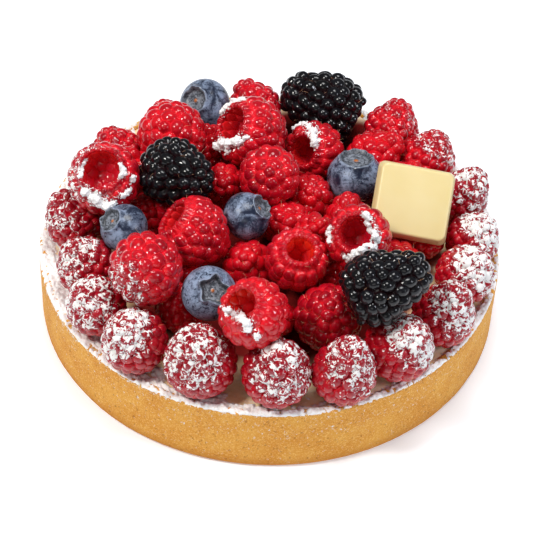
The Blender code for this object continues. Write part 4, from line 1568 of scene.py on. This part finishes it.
def blueberry_material():
    """Dark skin under a bloom of wax that is rubbed off in blotches and scratches."""
    material, tree, shader = new_material("blueberry_bloom")
    place = own_place(tree)
    cup, edge, wall, scar, wax = (
        add_node(tree, "Attribute", {"attribute_name": name}).outputs["Fac"]
        for name in ("cup", "edge", "wall", "scar", "wax")
    )
    cloud = add_node(tree, "TexNoise", None, {
        "Vector": place, "Scale": 1.0 / (5.5 * MM), "Detail": 6.0, "Roughness": 0.65,
        "Distortion": 0.6,
    }).outputs["Fac"]
    scratch = add_node(tree, "TexNoise", None, {
        "Vector": place, "Scale": 1.0 / (1.6 * MM), "Detail": 7.0, "Roughness": 0.68,
        "Distortion": 1.5,
    }).outputs["Fac"]
    waxy = add_node(
        tree, "Math", {"operation": "MULTIPLY_ADD"}, {0: wax, 1: 0.24, 2: cloud}
    ).outputs[0]
    bloom = add_node(
        tree, "Math", {"operation": "MULTIPLY"},
        {0: ramp(tree, waxy, 0.46, 0.74), 1: ramp(tree, scratch, 0.34, 0.56)},
    ).outputs[0]
    skin = mix_colour(tree, bloom, linear("1d2438"), linear("8999b4"))
    dry = mix_colour(tree, ramp(tree, scratch, 0.40, 0.62), linear("3c4048"), linear("868c98"))
    crowned = mix_colour(tree, cup, skin, dry)
    # painted shade: the cup's wall is darkened where the crown shades it
    painted_wall_shade = mix_colour(tree, ramp(tree, wall, 0.1, 0.9, 0.0, 0.60), crowned, linear("1c1f26"))
    # a paler blue-grey along the crown's edge: partly the lobes' own bloom, partly a painted
    # highlight
    torn = mix_colour(tree, ramp(tree, edge, 0.1, 0.8, 0.0, 0.60), painted_wall_shade, linear("8c98ac"))
    colour = mix_colour(tree, scar, torn, linear("b0652e"))
    bump = add_node(
        tree, "Bump", None, {"Strength": 0.25, "Distance": 0.1 * MM, "Height": scratch}
    )
    set_shader(tree, shader, {
        "Base Color": colour, "IOR": 1.42,
        "Roughness": ramp(tree, bloom, 0.0, 1.0, 0.25, 0.45),
        "Normal": bump.outputs["Normal"],
    })
    return material


# how far each berry's lobes splay, how much of its bloom is left, the angle in degrees from
# its axis to the edge of its crown, and how tall the lobes are
BLUEBERRY_LOOKS = [
    (0.15, 0.50, 29, 0.8), (0.20, 0.30, 28, 0.9), (0.20, 0.60, 28, 0.9),
    (0.80, 0.75, 27, 1.0), (0.05, 0.45, 34, 0.45),
]
bloom_skin = blueberry_material()
for number, row in enumerate(BLUEBERRIES, 1):
    width, _, turn, rise, _ = row
    node = f"blueberry_{number}"
    axes, centre = own_frame(node, turn, rise)
    looks = BLUEBERRY_LOOKS[number - 1]
    mesh = blueberry_mesh(f"blue_{node}", width / 2.0, 1.7 * number, looks)
    set_values(mesh, "wax", [looks[1]] * len(mesh.vertices))
    place_mesh(mesh, axes, centre)
    piece = add_piece(f"blue_{node}", mesh, bloom_skin, [node])
    print(f"{piece.name}: {len(mesh.polygons)} faces")

# %% [markdown]
# ## White chocolate slab
# Cocoa butter, milk and sugar, cast in a mould with rounded corners and a bevelled edge. It
# is ivory, smooth and satin, and a little light passes through its edges. The face is bare.

# %% White chocolate slab
SLAB_WIDTH, SLAB_LENGTH, SLAB_THICKNESS = 27.2, 25.8, 4.0
SLAB_CORNER, SLAB_EDGE, SLAB_DRAFT = 2.4, 0.7, 1.2
SLAB_LEAN, SLAB_SWING, SLAB_TURN = 39.0, 9.0, -14.5   # degrees, as the solid lies
SLAB_SHARP_ANGLE = 30.0   # degrees between faces above which an edge looks sharp


def chocolate_material():
    """White chocolate cast in a smooth mould: ivory, satin, slightly clear."""
    material, tree, shader = new_material("cast_white_chocolate")
    place = own_place(tree)
    cloud = add_node(tree, "TexNoise", None, {
        "Vector": place, "Scale": 1.0 / (9.0 * MM), "Detail": 3.0,
    }).outputs["Fac"]
    colour = mix_colour(tree, cloud, linear("dcc88c"), linear("e2d2a0"))
    set_shader(tree, shader, {
        "Base Color": colour, "IOR": 1.46,
        "Roughness": ramp(tree, cloud, 0.3, 0.7, 0.30, 0.42),
        "Subsurface Weight": 0.25, "Subsurface Radius": (1.0, 0.8, 0.45),
        "Subsurface Scale": 1.2 * MM,
    })
    return material


def slab_mesh():
    """A plate with rounded corners whose face is smaller than its back, as a mould needs,
    with soft edges round both."""
    bm = bmesh.new()
    bmesh.ops.create_cube(bm, size=1.0)
    bmesh.ops.scale(bm, vec=(SLAB_WIDTH, SLAB_LENGTH, SLAB_THICKNESS), verts=bm.verts)
    for vert in bm.verts:
        if vert.co.z > 0.0:
            vert.co.x -= math.copysign(SLAB_DRAFT, vert.co.x)
            vert.co.y -= math.copysign(SLAB_DRAFT, vert.co.y)
    upright = [e for e in bm.edges if abs(e.verts[0].co.z - e.verts[1].co.z) > 1.0]
    bmesh.ops.bevel(
        bm, geom=upright, offset=SLAB_CORNER, segments=8, profile=0.5, affect="EDGES"
    )
    outer = [e for e in bm.edges if e.calc_face_angle(0.0) > math.radians(50)]
    bmesh.ops.bevel(bm, geom=outer, offset=SLAB_EDGE, segments=5, profile=0.5, affect="EDGES")
    mesh = bpy.data.meshes.new("slab")
    bm.to_mesh(mesh)
    bm.free()
    return mesh


slab_axes = (
    Matrix.Rotation(math.radians(SLAB_SWING), 3, "Z")
    @ Matrix.Rotation(math.radians(SLAB_LEAN), 3, "X")
    @ Matrix.Rotation(math.radians(SLAB_TURN), 3, "Z")
)
slab_low, slab_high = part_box("chocolate_slab")
mesh = slab_mesh()
place_mesh(mesh, slab_axes, (slab_low + slab_high) / 2.0 / MM)
slab = add_piece(
    "slab", mesh, chocolate_material(), ["chocolate_slab"], SLAB_SHARP_ANGLE
)
print(f"{slab.name}: {len(mesh.polygons)} faces")

# %% [markdown]
# ## Juice, painted shade and sugar on the cream
# Under the heap the berries have wept, and the cream there is painted as dark as they are,
# for the juice and for the shade between them. Only a strip next to the rim stays tan. In
# drifts on that strip lies the sugar that missed the rim.

# %% Finish the cream
set_values(cream_mesh, "sugar", [cream_sugar(v.co / MM) for v in cream_mesh.vertices])
# the 'juice' values carry the juice stain and the painted shade under the heap
set_values(cream_mesh, "juice", [cream_juice_and_shade(v.co / MM) for v in cream_mesh.vertices])
cream = add_piece("cream", cream_mesh, cream_material(), ["almond_cream"])
print(f"{cream.name}: {len(cream_mesh.attributes)} attributes")
